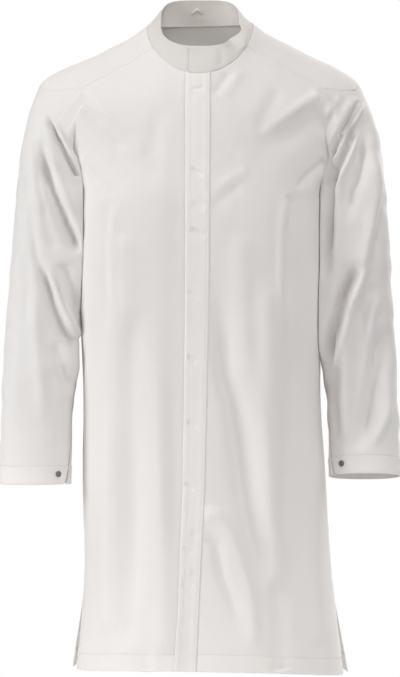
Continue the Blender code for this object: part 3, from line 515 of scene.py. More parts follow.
# ---- the body's form ----
@dataclass
class BodyForm:
    """The body's smooth surface, its seams, and the cloth on it."""

    names: tuple[str, ...] = ("half_width", "front_depth", "back_depth", "z_side", "front_drop",
                              "back_drop", "x_shift", "side_back", "roll", "roundness", "drop_power")
    rows: tuple[tuple[float, ...], ...] = (
        (0.2161, 0.168, 0.160, -1.026, -0.018, -0.008, 0.0163, 0.000, -0.004, 0.90, 1.5),   # hem
        (0.1976, 0.158, 0.150, -0.877, -0.008, -0.004, 0.0132, 0.000, -0.002, 0.88, 1.5),
        (0.1937, 0.151, 0.142, -0.720, 0.000, 0.000, 0.0067, 0.000, 0.000, 0.86, 1.5),
        (0.1890, 0.144, 0.132, -0.580, 0.000, 0.000, 0.0030, 0.004, 0.000, 0.74, 1.5),      # waist
        (0.1940, 0.142, 0.127, -0.430, 0.000, 0.000, 0.0018, 0.022, 0.000, 0.58, 1.5),
        (0.1945, 0.142, 0.127, -0.335, 0.002, 0.000, 0.0018, 0.028, 0.000, 0.56, 1.5),      # chest
        (0.1948, 0.141, 0.127, -0.290, 0.006, -0.002, 0.0014, 0.026, 0.000, 0.59, 1.5),
        (0.1970, 0.138, 0.126, -0.250, 0.012, -0.008, 0.0008, 0.014, 0.000, 0.70, 1.5),
        (0.2350, 0.130, 0.122, -0.170, 0.033, -0.020, 0.0000, 0.005, 0.000, 0.98, 1.4),
        (0.2560, 0.121, 0.113, -0.092, 0.058, 0.000, 0.0000, 0.002, 0.000, 1.02, 1.3),      # saddle
        (0.1540, 0.110, 0.095, -0.0360, 0.073, -0.016, 0.0000, 0.000, 0.0024, 1.00, 1.2),
        (0.0835, 0.100, 0.075, 0.0055, 0.0865, -0.007, 0.0000, 0.000, 0.0018, 0.96, 1.1),   # neck
    )
    neck: float = 11.0
    underarm: float = 7.0
    slit: float = 1.0
    armhole_front: Pairs = ((0, 7.0), (11, 7.10), (22, 7.42), (32, 7.95), (40, 8.50), (43, 9.00),
                            (35, 9.35))
    armhole_back: Pairs = ((0, 7.0), (-11, 7.12), (-24, 7.45), (-34, 7.90), (-40, 8.35),
                           (-41, 8.60), (-39, 8.80))
    yoke_front: Pairs = ((30, 11.0), (29, 10.5), (31, 10.0), (35, 9.35))
    saddle_front: Pairs = ((35, 9.35), (25, 9.10), (15, 9.00))
    saddle_end: Pairs = ((15, 9.0), (0, 9.0), (-18, 8.94))
    saddle_back: Pairs = ((-18, 8.94), (-29, 8.85), (-39, 8.80))
    yoke_back: Pairs = ((-39, 8.80), (-90, 8.80), (-141, 8.80))
    fly: tuple[Place, ...] = (       # height, and the x of the free edge and of the seam
        (-1.012, -0.0406, -0.0082), (-0.925, -0.0335, -0.0042), (-0.790, -0.0290, 0.0020),
        (-0.730, -0.0263, 0.0051), (-0.480, -0.0230, 0.0108), (-0.395, -0.0224, 0.0121),
        (-0.081, -0.0224, 0.0139),
    )
    shoulder_sag: float = 0.0030
    right_flatter: float = 0.10
    underlap_reach: float = 0.0060
    underlap_dip: float = 0.0026
    middle_z_at_underarm: float = -0.300
    middle_z_at_yoke: float = -0.170
    facing_width: float = 0.40
    top_fade: float = 0.6
    broad_wave: float = 0.055
    broad_depth: float = 0.0010
    broad_depth_added_low: float = 0.0012
    fine_wave: float = 0.017
    fine_depth: float = 0.00035
    level_table: Array = field(init=False)
    side_heights: Array = field(init=False)
    middle_heights: Array = field(init=False)

    def __post_init__(self) -> None:
        """Tabulates the heights of the side and of the front middle by level."""
        self.level_table = np.linspace(0.0, self.neck, TABLE_ROWS)
        self.side_heights = self.plain(np.zeros(TABLE_ROWS), self.level_table)[:, 2]
        self.middle_heights = self.plain(np.full(TABLE_ROWS, 90.0), self.level_table)[:, 2]

    def ring(self, level: Array) -> dict[str, Array]:
        """The section's sizes at each level, by name."""
        values = spline(np.array(self.rows), level)
        return {name: values[..., index] for index, name in enumerate(self.names)}

    def roundness(self, level: Array, right: Array | bool) -> Array:
        """The power of each section; the wearer's right front is flatter below the chest."""
        flatter = self.right_flatter * window(level, (2.2, 1.4), (7.6, -1.2))
        return self.ring(level)["roundness"] - flatter * np.asarray(right, float)

    def plain(self, angle: Array, level: Array) -> Array:
        """Points of the smooth surface, with no folds.

        Args:
            angle: the angles round the body in degrees.
            level: the row numbers, of the same shape.

        Returns:
            A point for each place.
        """
        ring = self.ring(level)
        cosine, sine = np.cos(np.radians(angle)), np.sin(np.radians(angle))
        roundness = self.roundness(level, (cosine < 0.0) & (sine > 0.0))
        front = sine > 0.0
        depth = np.where(front, ring["front_depth"], ring["back_depth"])
        drop = np.where(front, ring["front_drop"], ring["back_drop"])
        across = signed_power(cosine, roundness)
        sag = self.shoulder_sag * np.sin(math.pi * np.clip(level - 10.0, 0.0, 1.0)) ** 2
        return np.stack([
            ring["x_shift"] + ring["half_width"] * across,
            ring["side_back"] * cosine ** 2 - depth * signed_power(sine, roundness),
            (ring["z_side"] + ring["roll"] * across - sag * cosine ** 2
             - drop * np.abs(sine) ** ring["drop_power"]),
        ], axis=-1)

    def normal(self, angle: Array, level: Array) -> Array:
        """Outward unit normals of the smooth surface.

        Args:
            angle, level: as for plain.

        Returns:
            A normal for each place.
        """
        inside = np.clip(level, 0.02, self.neck - 0.02)
        round_it = self.plain(angle + 1.0, inside) - self.plain(angle - 1.0, inside)
        up_it = self.plain(angle, inside + 0.01) - self.plain(angle, inside - 0.01)
        return unit(np.cross(up_it, round_it))

    def cloth(self, angle: Array, level: Array, out: Array | float = 0.0) -> Array:
        """Points of the coat with its creases.

        Args:
            angle, level: as for plain.
            out: how far the points are moved out of the cloth, in metres.

        Returns:
            A point for each place.
        """
        angle, level = np.broadcast_arrays(np.asarray(angle, float), np.asarray(level, float))
        point = self.plain(angle, level)
        x, z = point[..., 0], point[..., 2]
        sine = np.sin(np.radians(angle))
        front = sine > 0.0
        fold = np.where(front, push_all(FRONT_CREASES + FLY_MARKS, x, z),
                        push_all(BACK_CREASES, x, z))
        facing = smooth(np.abs(sine) / self.facing_width)
        top = smooth((self.neck - level) / self.top_fade)
        push = (fold + self.waves(x, z, front)) * facing * top + out
        return point + self.normal(angle, level) * push[..., None]

    def waves(self, x: Array, z: Array, front: Array) -> Array:
        """The soft unevenness of the cloth, which is deeper below the chest.

        Args:
            x, z: places on the cloth.
            front: whether each is on the front, which has a pattern of its own.

        Returns:
            How far each place moves out, in metres.
        """
        depth = self.broad_depth + self.broad_depth_added_low * smooth((-0.30 - z) / 0.35)
        broad = ripple(x + 3.0 * front, z * 0.45, self.broad_wave, 11)
        fine = ripple(x + 2.0 * front, z, self.fine_wave, 12)
        return depth * broad + self.fine_depth * fine

    def level_at(self, z: Array, middle: bool) -> Array:
        """The level at which the side or the front middle has each height."""
        return np.interp(z, self.middle_heights if middle else self.side_heights, self.level_table)

    def side_at(self, y: Array, z: Array, right: bool) -> Array:
        """How far the body reaches sideways, without its shift.

        Args:
            y, z: depths and heights.
            right: whether it is the wearer's right side.

        Returns:
            The reach from the middle at each place, in metres.
        """
        level = self.level_at(z, False)
        ring = self.ring(level)
        roundness = self.roundness(level, right)
        depth = np.where(y < ring["side_back"], ring["front_depth"], ring["back_depth"])
        sine = np.zeros_like(y)
        for _ in range(5):
            reach = np.abs(ring["side_back"] * (1.0 - sine ** 2) - y) / depth
            sine = np.clip(reach, 0.0, 0.98) ** (1.0 / roundness)
        return ring["half_width"] * (1.0 - sine ** 2) ** (0.5 * roundness)

    def angle_at(self, x: Array | float, level: Array | float) -> Array:
        """The angle in front at which a level crosses an x.

        Args:
            x: places across the front.
            level: row numbers.

        Returns:
            Angles in degrees.
        """
        level = np.asarray(level, float)
        ring = self.ring(level)
        across = (x - ring["x_shift"]) / ring["half_width"]
        return np.degrees(np.arccos(signed_power(across, 1.0 / self.roundness(level, across < 0.0))))

    def fly_x(self, z: Array, column: int) -> Array:
        """The x of the fly's free edge (1) or seam (2) at each height."""
        table = np.array(self.fly)
        return np.interp(z, table[:, 0], table[:, column])

    def front_middle(self, share: Array, column: int, shift: float = 0.0) -> Array:
        """The fly's edge or seam, hem to neck.

        Args:
            share: places from 0 at the hem to 1 at the neck.
            column: 1 for the free edge, 2 for the seam.
            shift: how far the line is moved to the wearer's left, in metres.

        Returns:
            One (angle, level) for each place.
        """
        heights = np.array([self.middle_heights[0], self.middle_z_at_underarm,
                            self.middle_z_at_yoke, self.middle_heights[-1]])
        z = np.interp(share * FRONT_STEPS, (0.0, SIDE_STEPS, BACK_STEPS, FRONT_STEPS), heights)
        level = self.level_at(z, True)
        return np.stack([self.angle_at(self.fly_x(z, column) + shift, level), level], axis=-1)

    def side_then(self, place: Array, stages: Stages) -> Array:
        """The side seam followed by other seams.

        Args:
            place: steps from 0 at the hem, with SIDE_STEPS at the underarm.
            stages: the step at which each later seam ends, and its points.

        Returns:
            One (angle, level) for each place.
        """
        bottom, top = self.side_heights[0], self.plain(np.zeros(1), np.array([self.underarm]))[0, 2]
        z = bottom + (top - bottom) * np.clip(place / SIDE_STEPS, 0.0, 1.0)
        side = np.stack([np.zeros_like(z), self.level_at(z, False)], axis=-1)
        return np.where((place > SIDE_STEPS)[:, None], chain(place, stages, SIDE_STEPS), side)

    def slit_share(self, level: Array) -> Array:
        """0 above the side slit, 1 at the hem."""
        return smooth((self.slit - level) / self.slit)


def coons(bottom: Array, top: Array, start: Array, end: Array, u: Array, v: Array) -> Array:
    """Fills a four-sided patch between its edges.

    Args:
        bottom, top: (angle, level) along u.
        start, end: (angle, level) along v.
        u, v: the shares of the columns and rows.

    Returns:
        (angle, level) for each row and column.
    """
    u, v = u[None, :, None], v[:, None, None]
    return ((1 - v) * bottom[None] + v * top[None] + (1 - u) * start[:, None] + u * end[:, None]
            - (1 - u) * (1 - v) * bottom[0] - u * (1 - v) * bottom[-1]
            - (1 - u) * v * top[0] - u * v * top[-1])


# ---- cloth ----
def fill_inputs(node: bpy.types.Node, values: dict[str, object]) -> None:
    """Sets a node's inputs by name."""
    for name, value in values.items():
        node.inputs[name].default_value = value


def new_material(name: str, values: dict[str, object]) -> Material:
    """Makes a Principled material.

    Args:
        name: the new material's name.
        values: the shader's inputs, by name.

    Returns:
        The material.
    """
    material = bpy.data.materials.new(name)
    material.use_nodes = True
    fill_inputs(material.node_tree.nodes["Principled BSDF"], values)
    return material


def add_node(material: Material, kind: str, values: dict[str, object],
             feeds: dict[str | int, bpy.types.NodeSocket], **settings: object) -> bpy.types.Node:
    """Adds a node to a material.

    Args:
        material: the material.
        kind: the node's type, without the words that all of them start with.
        values: its inputs' values, by name.
        feeds: the sockets that feed its inputs, by the inputs' names or numbers.
        settings: its own properties.

    Returns:
        The node.
    """
    node = material.node_tree.nodes.new("ShaderNode" + kind)
    for name, value in settings.items():
        setattr(node, name, value)
    fill_inputs(node, values)
    for name, socket in feeds.items():
        material.node_tree.links.new(socket, node.inputs[name])
    return node


def feed_shader(material: Material, name: str, socket: bpy.types.NodeSocket) -> None:
    """Feeds one input of a material's Principled shader."""
    shader = material.node_tree.nodes["Principled BSDF"]
    material.node_tree.links.new(socket, shader.inputs[name])


def opaque(colour: Place, share: float = 1.0) -> tuple[float, float, float, float]:
    """A share of a colour, with full opacity."""
    return tuple(share * part for part in colour) + (1.0,)


@dataclass(frozen=True)
class Twill:
    """White polyester-cotton twill: fine diagonal ribs, a faint sheen and uneven tone.

    reliefs holds the bump's strength and depth for the ribs, the slubs and the crumples.
    """

    colour: Place = (0.830, 0.806, 0.788)
    shade: Place = (0.800, 0.770, 0.748)
    glow: float = 0.30
    glow_depth: float = 0.006
    roughness: float = 0.78
    sheen: float = 0.18
    rib_pitch: float = 0.0008
    rib_turn: float = 63.0
    reliefs: Pairs = ((0.35, 0.00006), (0.20, 0.00005), (0.20, 0.0012))

    def material(self, name: str) -> Material:
        """Makes the cloth's material.

        Args:
            name: the new material's name.

        Returns:
            A Principled material whose ribs follow the cloth's own grain.
        """
        made = new_material(name, {
            "Roughness": self.roughness, "Sheen Weight": self.sheen, "Sheen Roughness": 0.45,
            "Specular IOR Level": 0.25, "Subsurface Weight": self.glow,
            "Subsurface Radius": (1.0, 0.9, 0.8), "Subsurface Scale": self.glow_depth})
        place = add_node(made, "TexCoord", {}, {}).outputs
        turn = add_node(made, "Mapping", {"Rotation": (0.0, 0.0, math.radians(self.rib_turn))},
                        {"Vector": place["UV"]})
        ribs = add_node(made, "TexWave", {"Scale": math.pi / 10.0 / self.rib_pitch,
                                          "Distortion": 0.6}, {"Vector": turn.outputs["Vector"]})
        slub, crumple, tone = (
            add_node(made, "TexNoise", {"Scale": scale, "Detail": detail}, {"Vector": place[kind]})
            for scale, detail, kind in ((420.0, 2.0, "UV"), (55.0, 3.0, "Object"),
                                        (9.0, 4.0, "Object")))
        blend = add_node(made, "Math", {}, {0: tone.outputs["Fac"], 1: slub.outputs["Fac"]},
                         operation="MULTIPLY")
        mix = add_node(made, "Mix", {"A": opaque(self.colour), "B": opaque(self.shade)},
                       {"Factor": blend.outputs["Value"]}, data_type="RGBA")
        feed_shader(made, "Base Color", mix.outputs["Result"])
        feeds = {}
        for source, (strength, distance) in zip((ribs, slub, crumple), self.reliefs):
            feeds["Height"] = source.outputs["Fac"]
            bump = add_node(made, "Bump", {"Strength": strength, "Distance": distance}, feeds)
            feeds["Normal"] = bump.outputs["Normal"]
        feed_shader(made, "Normal", feeds["Normal"])
        return made


@dataclass(frozen=True)
class Thread:
    """Spun sewing thread, a little brighter and smoother than the cloth."""

    colour: Place = (0.80, 0.79, 0.78)
    dark_share: float = 0.9
    twist_scale: float = 900.0

    def material(self, name: str) -> Material:
        """Makes the thread's material, with fine twist lines.

        Args:
            name: the new material's name.

        Returns:
            The material.
        """
        made = new_material(name, {"Roughness": 0.6})
        place = add_node(made, "TexCoord", {}, {}).outputs["Object"]
        twist = add_node(made, "TexNoise", {"Scale": self.twist_scale}, {"Vector": place})
        mix = add_node(made, "Mix", {"A": opaque(self.colour),
                                     "B": opaque(self.colour, self.dark_share)},
                       {"Factor": twist.outputs["Fac"]}, data_type="RGBA")
        feed_shader(made, "Base Color", mix.outputs["Result"])
        return made


@dataclass(frozen=True)
class StudMetal:
    """Dark satin steel with fine turning marks."""

    colour: Place = (0.20, 0.20, 0.215)
    roughness: float = 0.34
    smoother: float = 0.08
    rougher: float = 0.10
    grain_scale: float = 1400.0

    def material(self, name: str) -> Material:
        """Makes the metal's material.

        Args:
            name: the new material's name.

        Returns:
            The material.
        """
        made = new_material(name, {"Metallic": 1.0, "Base Color": opaque(self.colour)})
        place = add_node(made, "TexCoord", {}, {}).outputs["Object"]
        grain = add_node(made, "TexNoise", {"Scale": self.grain_scale}, {"Vector": place})
        spread = add_node(made, "MapRange", {"To Min": self.roughness - self.smoother,
                                             "To Max": self.roughness + self.rougher},
                          {"Value": grain.outputs["Fac"]})
        feed_shader(made, "Roughness", spread.outputs["Result"])
        return made


@dataclass
class ClothGrid:
    """A panel's outer face as rows and columns of points, with the relief of its edges.

    gaps holds, for each side, every point's distance from that side's seam line; it is below 0
    where the cloth runs on past the seam.
    """

    points: Array
    joined: int = 0
    gaps: dict[Edge, Array] = field(init=False)

    def __post_init__(self) -> None:
        """Measures every point's distance from the four sides."""
        self.gaps = {edge: self.distance(edge) for edge in Edge}

    def normals(self) -> Array:
        """Outward unit normals."""
        return grid_normals(self.points, self.joined)

    def distance(self, edge: Edge) -> Array:
        """How far each point is from one side, along its row or column.

        Args:
            edge: which side.

        Returns:
            The distances in metres, rows by columns.
        """
        axis = edge.axis
        steps = np.linalg.norm(np.diff(self.points, axis=axis), axis=-1)
        if not edge.first:
            steps = np.flip(steps, axis)
        total = np.insert(np.cumsum(steps, axis=axis), 0, 0.0, axis=axis)
        return total if edge.first else np.flip(total, axis)

    def extend(self, edge: Edge, reach: Array) -> None:
        """Runs the cloth straight on past one side.

        Args:
            edge: which side.
            reach: how far, in metres, for each point of that side.
        """
        axis, count = edge.axis, len(REACH_SHARES)

        def widen(values: Array, extra: Array) -> Array:
            """The values with the extra ones set past that side."""
            rows = np.moveaxis(values, axis, 0)
            parts = [extra[::-1], rows] if edge.first else [rows, extra]
            return np.moveaxis(np.concatenate(parts), 0, axis)

        grid = np.moveaxis(self.points, axis, 0)
        outer, inner = (grid[0], grid[3]) if edge.first else (grid[-1], grid[-4])
        way = unit(outer - inner) * reach[:, None]
        self.points = widen(self.points, np.stack([outer + way * share for share in REACH_SHARES]))
        past = np.stack([-reach * share for share in REACH_SHARES])
        for key, gap in self.gaps.items():
            last = np.moveaxis(gap, axis, 0)[0 if edge.first else -1]
            self.gaps[key] = widen(gap, past if key is edge else np.stack([last] * count))
        if self.joined and edge is Edge.FIRST_ROW:
            self.joined += count

    def move(self, out: Array) -> None:
        """Moves the points along their normals."""
        self.points = self.points + self.normals() * out[..., None]

    def seam(self, edge: Edge, over: Array | float = 1.0, dip: float = SEAM_DIP,
             lifted: float = SEAM_LIFT) -> None:
        """Gives one side the relief of a sewn edge.

        Args:
            edge: which side.
            over: for each point of that side, 1 for the upper layer, which runs on past the
                seam with a rolled edge, and 0 for the lower one, which is drawn in beneath.
            dip: how far the lower layer is drawn in.
            lifted: how far the upper layer stands up beside the seam.
        """
        count = self.points.shape[1 - edge.axis]
        over = np.broadcast_to(np.asarray(over, float), (count,))
        reach = SEAM_REACH * np.maximum(over, 0.08)
        self.extend(edge, reach)
        side_by_side = (slice(None), None) if edge.axis == 1 else (None, slice(None))
        over, reach = over[side_by_side], reach[side_by_side]
        gap = self.gaps[edge]
        lift = lifted * (1.0 - window(gap + reach, LIFT_FADE))
        roll = SEAM_ROLL * (1.0 - smooth((gap + reach) / EDGE_ROUND))
        sink = dip * (1.0 - window(gap, SINK_FADE))
        self.move(over * (lift - roll) - (1.0 - over) * sink)

    def roll(self, edge: Edge, depth: Array | float = SEAM_ROLL) -> None:
        """Rounds a free edge over."""
        self.move(-depth * (1.0 - smooth(self.gaps[edge] / EDGE_ROUND)))

    def stitch_groove(self, edge: Edge, distance: float, depth: float = 0.00028) -> None:
        """Sinks a narrow line beside one side, with the puckers that stitching draws in.

        Args:
            edge: which side.
            distance: how far the line is from it, in metres.
            depth: how deep the line is, in metres.
        """
        gap = self.gaps[edge] - distance
        x, y, z = np.moveaxis(self.points, -1, 0)
        puckers = ripple(x * 1.3 + y, z + 0.6 * x, 0.011, 21)
        self.move(-depth * np.exp(-(gap / GROOVE_WIDTH) ** 2)
                  + PUCKER_DEPTH * puckers * np.exp(-(gap / PUCKER_REACH) ** 2))

    def line(self, edge: Edge, distance: float, margin: float = 0.001) -> Line:
        """The points and normals of a line at a distance from one side.

        Args:
            edge: which side.
            distance: how far from its seam line, in metres.
            margin: how far the line keeps from the sides that it runs into.

        Returns:
            The line's points and the cloth's normals there.
        """
        axis = edge.axis
        ends = ((Edge.FIRST_COLUMN, Edge.LAST_COLUMN) if axis == 0
                else (Edge.FIRST_ROW, Edge.LAST_ROW))
        stack = [np.moveaxis(a, axis, 0) for a in (self.gaps[edge], self.gaps[ends[0]],
                                                   self.gaps[ends[1]], self.points,
                                                   self.normals())]
        if not edge.first:
            stack = [a[::-1] for a in stack]
        gap, from_start, from_end, grid, normals = stack
        after = np.maximum(np.argmax(gap >= distance, axis=0), 1)
        place = np.arange(gap.shape[1])
        low, high = gap[after - 1, place], gap[after, place]
        share = ((distance - low) / np.maximum(high - low, 1e-9))[:, None]
        points = grid[after - 1, place] * (1 - share) + grid[after, place] * share
        way = normals[after - 1, place] * (1 - share) + normals[after, place] * share
        keep = (from_start[after, place] >= margin) & (from_end[after, place] >= margin)
        return points[keep], unit(way[keep])

    def flat_coordinates(self) -> Array:
        """Each point's place on the flat cloth in metres, for the weave."""
        across = self.distance(Edge.FIRST_COLUMN)
        across = across - across[:, -1:] * 0.5
        up = self.distance(Edge.FIRST_ROW).mean(axis=1, keepdims=True) + 0.0 * across
        return np.stack([across, up], axis=-1)

    def shell(self, name: str, wall: Array | float) -> Piece:
        """Closes the sheet into thin cloth with rounded edges.

        Args:
            name: the object's name.
            wall: the thickness in metres, for all or for each point.

        Returns:
            The new object, linked to the scene.
        """
        rows, columns = self.points.shape[:2]
        index = np.arange(rows * columns).reshape(rows, columns)
        if self.joined:
            index[:self.joined, -1] = index[:self.joined, 0]
        quads = np.stack([index[:-1, :-1], index[:-1, 1:], index[1:, 1:], index[1:, :-1]], axis=-1)
        quads = quads.reshape(-1, 4)
        used, quads = np.unique(quads, return_inverse=True)
        quads = quads.reshape(-1, 4)
        outer = self.points.reshape(-1, 3)[used]
        flat = self.flat_coordinates().reshape(-1, 2)[used]
        thick = (np.zeros((rows, columns)) + wall).reshape(-1, 1)[used]
        normals = self.vertex_normals(outer, quads)
        inner = outer - normals * thick
        pairs = np.concatenate([quads[:, [k, (k + 1) % 4]] for k in range(4)])
        keys = np.sort(pairs, axis=1) @ np.array([len(outer), 1])
        unique, counts = np.unique(keys, return_counts=True)
        rim = pairs[np.isin(keys, unique[counts == 1])]
        away = np.zeros_like(outer)
        outward = unit(np.cross(outer[rim[:, 1]] - outer[rim[:, 0]], normals[rim[:, 0]]))
        for end in (0, 1):
            np.add.at(away, rim[:, end], outward)
        ring = np.unique(rim)
        middle_of = np.full(len(outer), -1)
        middle_of[ring] = 2 * len(outer) + np.arange(len(ring))
        middle = 0.5 * (outer[ring] + inner[ring]) + unit(away[ring]) * 0.42 * thick[ring]
        a, b = rim[:, 0], rim[:, 1]
        shift = len(outer)
        faces = np.concatenate([
            quads, quads[:, ::-1] + shift,
            np.stack([b, a, middle_of[a], middle_of[b]], axis=-1),
            np.stack([middle_of[b], middle_of[a], a + shift, b + shift], axis=-1)])
        vertices = np.concatenate([outer, inner, middle])
        places = np.concatenate([flat, flat, flat[ring]])
        return mesh_object(name, vertices, faces, places)

    @staticmethod
    def vertex_normals(points: Array, quads: Array) -> Array:
        """Area-weighted normals of a quad mesh.

        Args:
            points: its points.
            quads: rows of four point numbers.

        Returns:
            A unit normal for each point.
        """
        across = points[quads[:, 2]] - points[quads[:, 0]]
        other = points[quads[:, 3]] - points[quads[:, 1]]
        faces = np.cross(across, other)
        total = np.zeros_like(points)
        for corner in range(4):
            np.add.at(total, quads[:, corner], faces)
        return unit(total)


def mesh_object(name: str, vertices: Array, faces: Array, places: Array | None = None
                ) -> Piece:
    """Makes a smooth-shaded mesh object from arrays.

    Args:
        name: the object's name.
        vertices: its points.
        faces: rows of point numbers, all of one length.
        places: each point's flat coordinates, if it has any.

    Returns:
        The new object, linked to the scene.
    """
    mesh = bpy.data.meshes.new(name)
    sides = faces.shape[1]
    mesh.vertices.add(len(vertices))
    mesh.vertices.foreach_set("co", vertices.astype(np.float32).ravel())
    mesh.loops.add(faces.size)
    mesh.loops.foreach_set("vertex_index", faces.astype(np.int32).ravel())
    mesh.polygons.add(len(faces))
    mesh.polygons.foreach_set("loop_start", np.arange(0, faces.size, sides, dtype=np.int32))
    mesh.update(calc_edges=True)
    if places is not None:
        layer = mesh.uv_layers.new(name="grain")
        layer.data.foreach_set("uv", places[faces.ravel()].astype(np.float32).ravel())
    mesh.shade_smooth()
    mesh.validate()
    return link(name, mesh)


@dataclass(frozen=True)
class Cut:
    """The flat piece that a panel is cut from: its width and length, and its area."""

    flat: Pair
    area: float


@dataclass
class Workroom:
    """Dresses finished pieces and keeps the shared materials.

    A stitch's profile gives each ring's place as a share of the pitch and its size as a share of
    the radius. Its ends are made for six sides.
    """

    twill: Twill = Twill()
    # the collar's twill is the body's cloth painted darker: painted shade for the shade that falls on
    # the collar front
    collar_painted_shade_twill: Twill = Twill(colour=(0.672, 0.650, 0.630), shade=(0.648, 0.622, 0.602))
    thread: Thread = Thread()
    pitch: float = 0.0031
    stitch_radius: float = 0.00026
    stitch_rise: float = 0.00008
    stitch_sides: int = 6
    stitch_profile: Pairs = ((-0.38, 0.35), (0.0, 1.0), (0.38, 0.35))
    cloth_material: Material = field(init=False)
    collar_painted_shade_material: Material = field(init=False)
    thread_material: Material = field(init=False)

    def __post_init__(self) -> None:
        """Makes the shared materials."""
        self.cloth_material = self.twill.material("white_twill")
        self.collar_painted_shade_material = self.collar_painted_shade_twill.material("white_collar_twill")
        self.thread_material = self.thread.material("white_thread")

    def sew(self, grid: ClothGrid, node: str, wall: Array | float, cut: Cut,
            rests_on: tuple[str, ...], lines: tuple[Line, ...] = (), held: str = "draped",
            names: tuple[str, str] | None = None) -> Piece:
        """Finishes one panel and its stitching.

        Args:
            grid: the panel's outer face.
            node: the CAD node that it stands for.
            wall: its thickness in metres, for all or for each point.
            cut: the flat piece that it is cut from.
            rests_on: what carries it; not used.
            lines: the points and normals of each row of stitches.
            held: how it is held; not used.
            names: the cloth's and the stitching's, where they don't follow from the node's.

        Returns:
            The panel's object.
        """
        cloth_name, thread_name = names or ("cloth_" + node, node + "_stitching")
        threads = [self.stitches(thread_name, lines)] if lines else []
        piece = grid.shell(cloth_name, wall)
        # the collar gets the darker twill, whose colour is painted shade; every other panel gets the
        # plain twill
        piece.data.materials.append(
            self.collar_painted_shade_material if node == "collar" else self.cloth_material)
        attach(piece, "root")
        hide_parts(node)
        LOG.info("%s: %d faces, cut %.3f m2", piece.name, len(piece.data.polygons), cut.area)
        return piece

    def stitches(self, name: str, lines: tuple[Line, ...]) -> Piece:
        """Sews rows of stitches as one piece.

        Args:
            name: the piece's name.
            lines: the points and normals of each row.

        Returns:
            The stitches' object.
        """
        blocks = np.concatenate([self.row_of_stitches(*line) for line in lines])
        count, size = blocks.shape[:2]
        faces = self.stitch_faces()[None] + np.arange(count)[:, None, None] * size
        piece = mesh_object(name, blocks.reshape(-1, 3), faces.reshape(-1, 4))
        piece.data.materials.append(self.thread_material)
        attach(piece, "root")
        LOG.info("%s: %d stitches", name, count)
        return piece

    def row_of_stitches(self, points: Array, normals: Array) -> Array:
        """The points of every stitch along a line.

        Args:
            points: the line.
            normals: the cloth's normals along it.

        Returns:
            Points, stitch by stitch, and none for a line that is too short.
        """
        reach = travelled(points)
        count = int(reach[-1] / self.pitch)
        if count < 2:
            return np.zeros((0, len(self.stitch_profile) * self.stitch_sides, 3))
        centres = (np.arange(count) + 0.5) * self.pitch

        def sample(values: Array, shift: float = 0.0) -> Array:
            """Values of the line at every stitch's middle, moved along by shift."""
            return np.stack([np.interp(centres + shift, reach, values[:, k]) for k in range(3)], -1)

        middle, up = sample(points), unit(sample(normals))
        ahead = unit(sample(points, 0.0005) - sample(points, -0.0005))
        across = unit(np.cross(up, ahead))
        rings = []
        for place, size in self.stitch_profile:
            for side in range(self.stitch_sides):
                turn = 2.0 * math.pi * side / self.stitch_sides
                rings.append(middle + ahead * (place * self.pitch)
                             + across * (self.stitch_radius * size * math.cos(turn))
                             + up * (self.stitch_radius * size * math.sin(turn)
                                     + self.stitch_rise))
        return np.stack(rings, axis=1)

    def stitch_faces(self) -> Array:
        """One stitch's faces, as rows of four point numbers: its sides, then its two ends."""
        sides = self.stitch_sides
        faces = []
        for start in range(0, (len(self.stitch_profile) - 1) * sides, sides):
            for side in range(sides):
                after = (side + 1) % sides
                faces.append((start + side, start + after, start + sides + after,
                              start + sides + side))
        last = (len(self.stitch_profile) - 1) * sides
        for start, flip in ((0, True), (last, False)):
            for cap in ((0, 1, 2, 3), (0, 3, 4, 5)):
                face = [start + corner for corner in cap]
                faces.append(tuple(reversed(face)) if flip else tuple(face))
        return np.array(faces)


# ---- the sub-assemblies ----
@dataclass
class HemmedPanel:
    """What the fronts and the back share: the cloth's walls and the hem."""

    body: BodyForm
    room: Workroom
    wall: float = 0.0008
    hem_wall: float = 0.0018
    hem_height: float = 0.026
    hem_groove: float = 0.0004

    def sew(self, grid: ClothGrid, node: str, cut: Cut) -> Piece:
        """Stitches the hem and finishes the panel.

        Args:
            grid: the panel's outer face, whose first row is the hem's edge.
            node: the CAD node that it stands for.
            cut: the flat piece that it is cut from.

        Returns:
            The panel's object.
        """
        wall = np.where(grid.gaps[Edge.FIRST_ROW] < self.hem_height, self.hem_wall, self.wall)
        return self.room.sew(grid, node, wall, cut, ("cloth_yoke",),
                             (grid.line(Edge.FIRST_ROW, self.hem_height),))


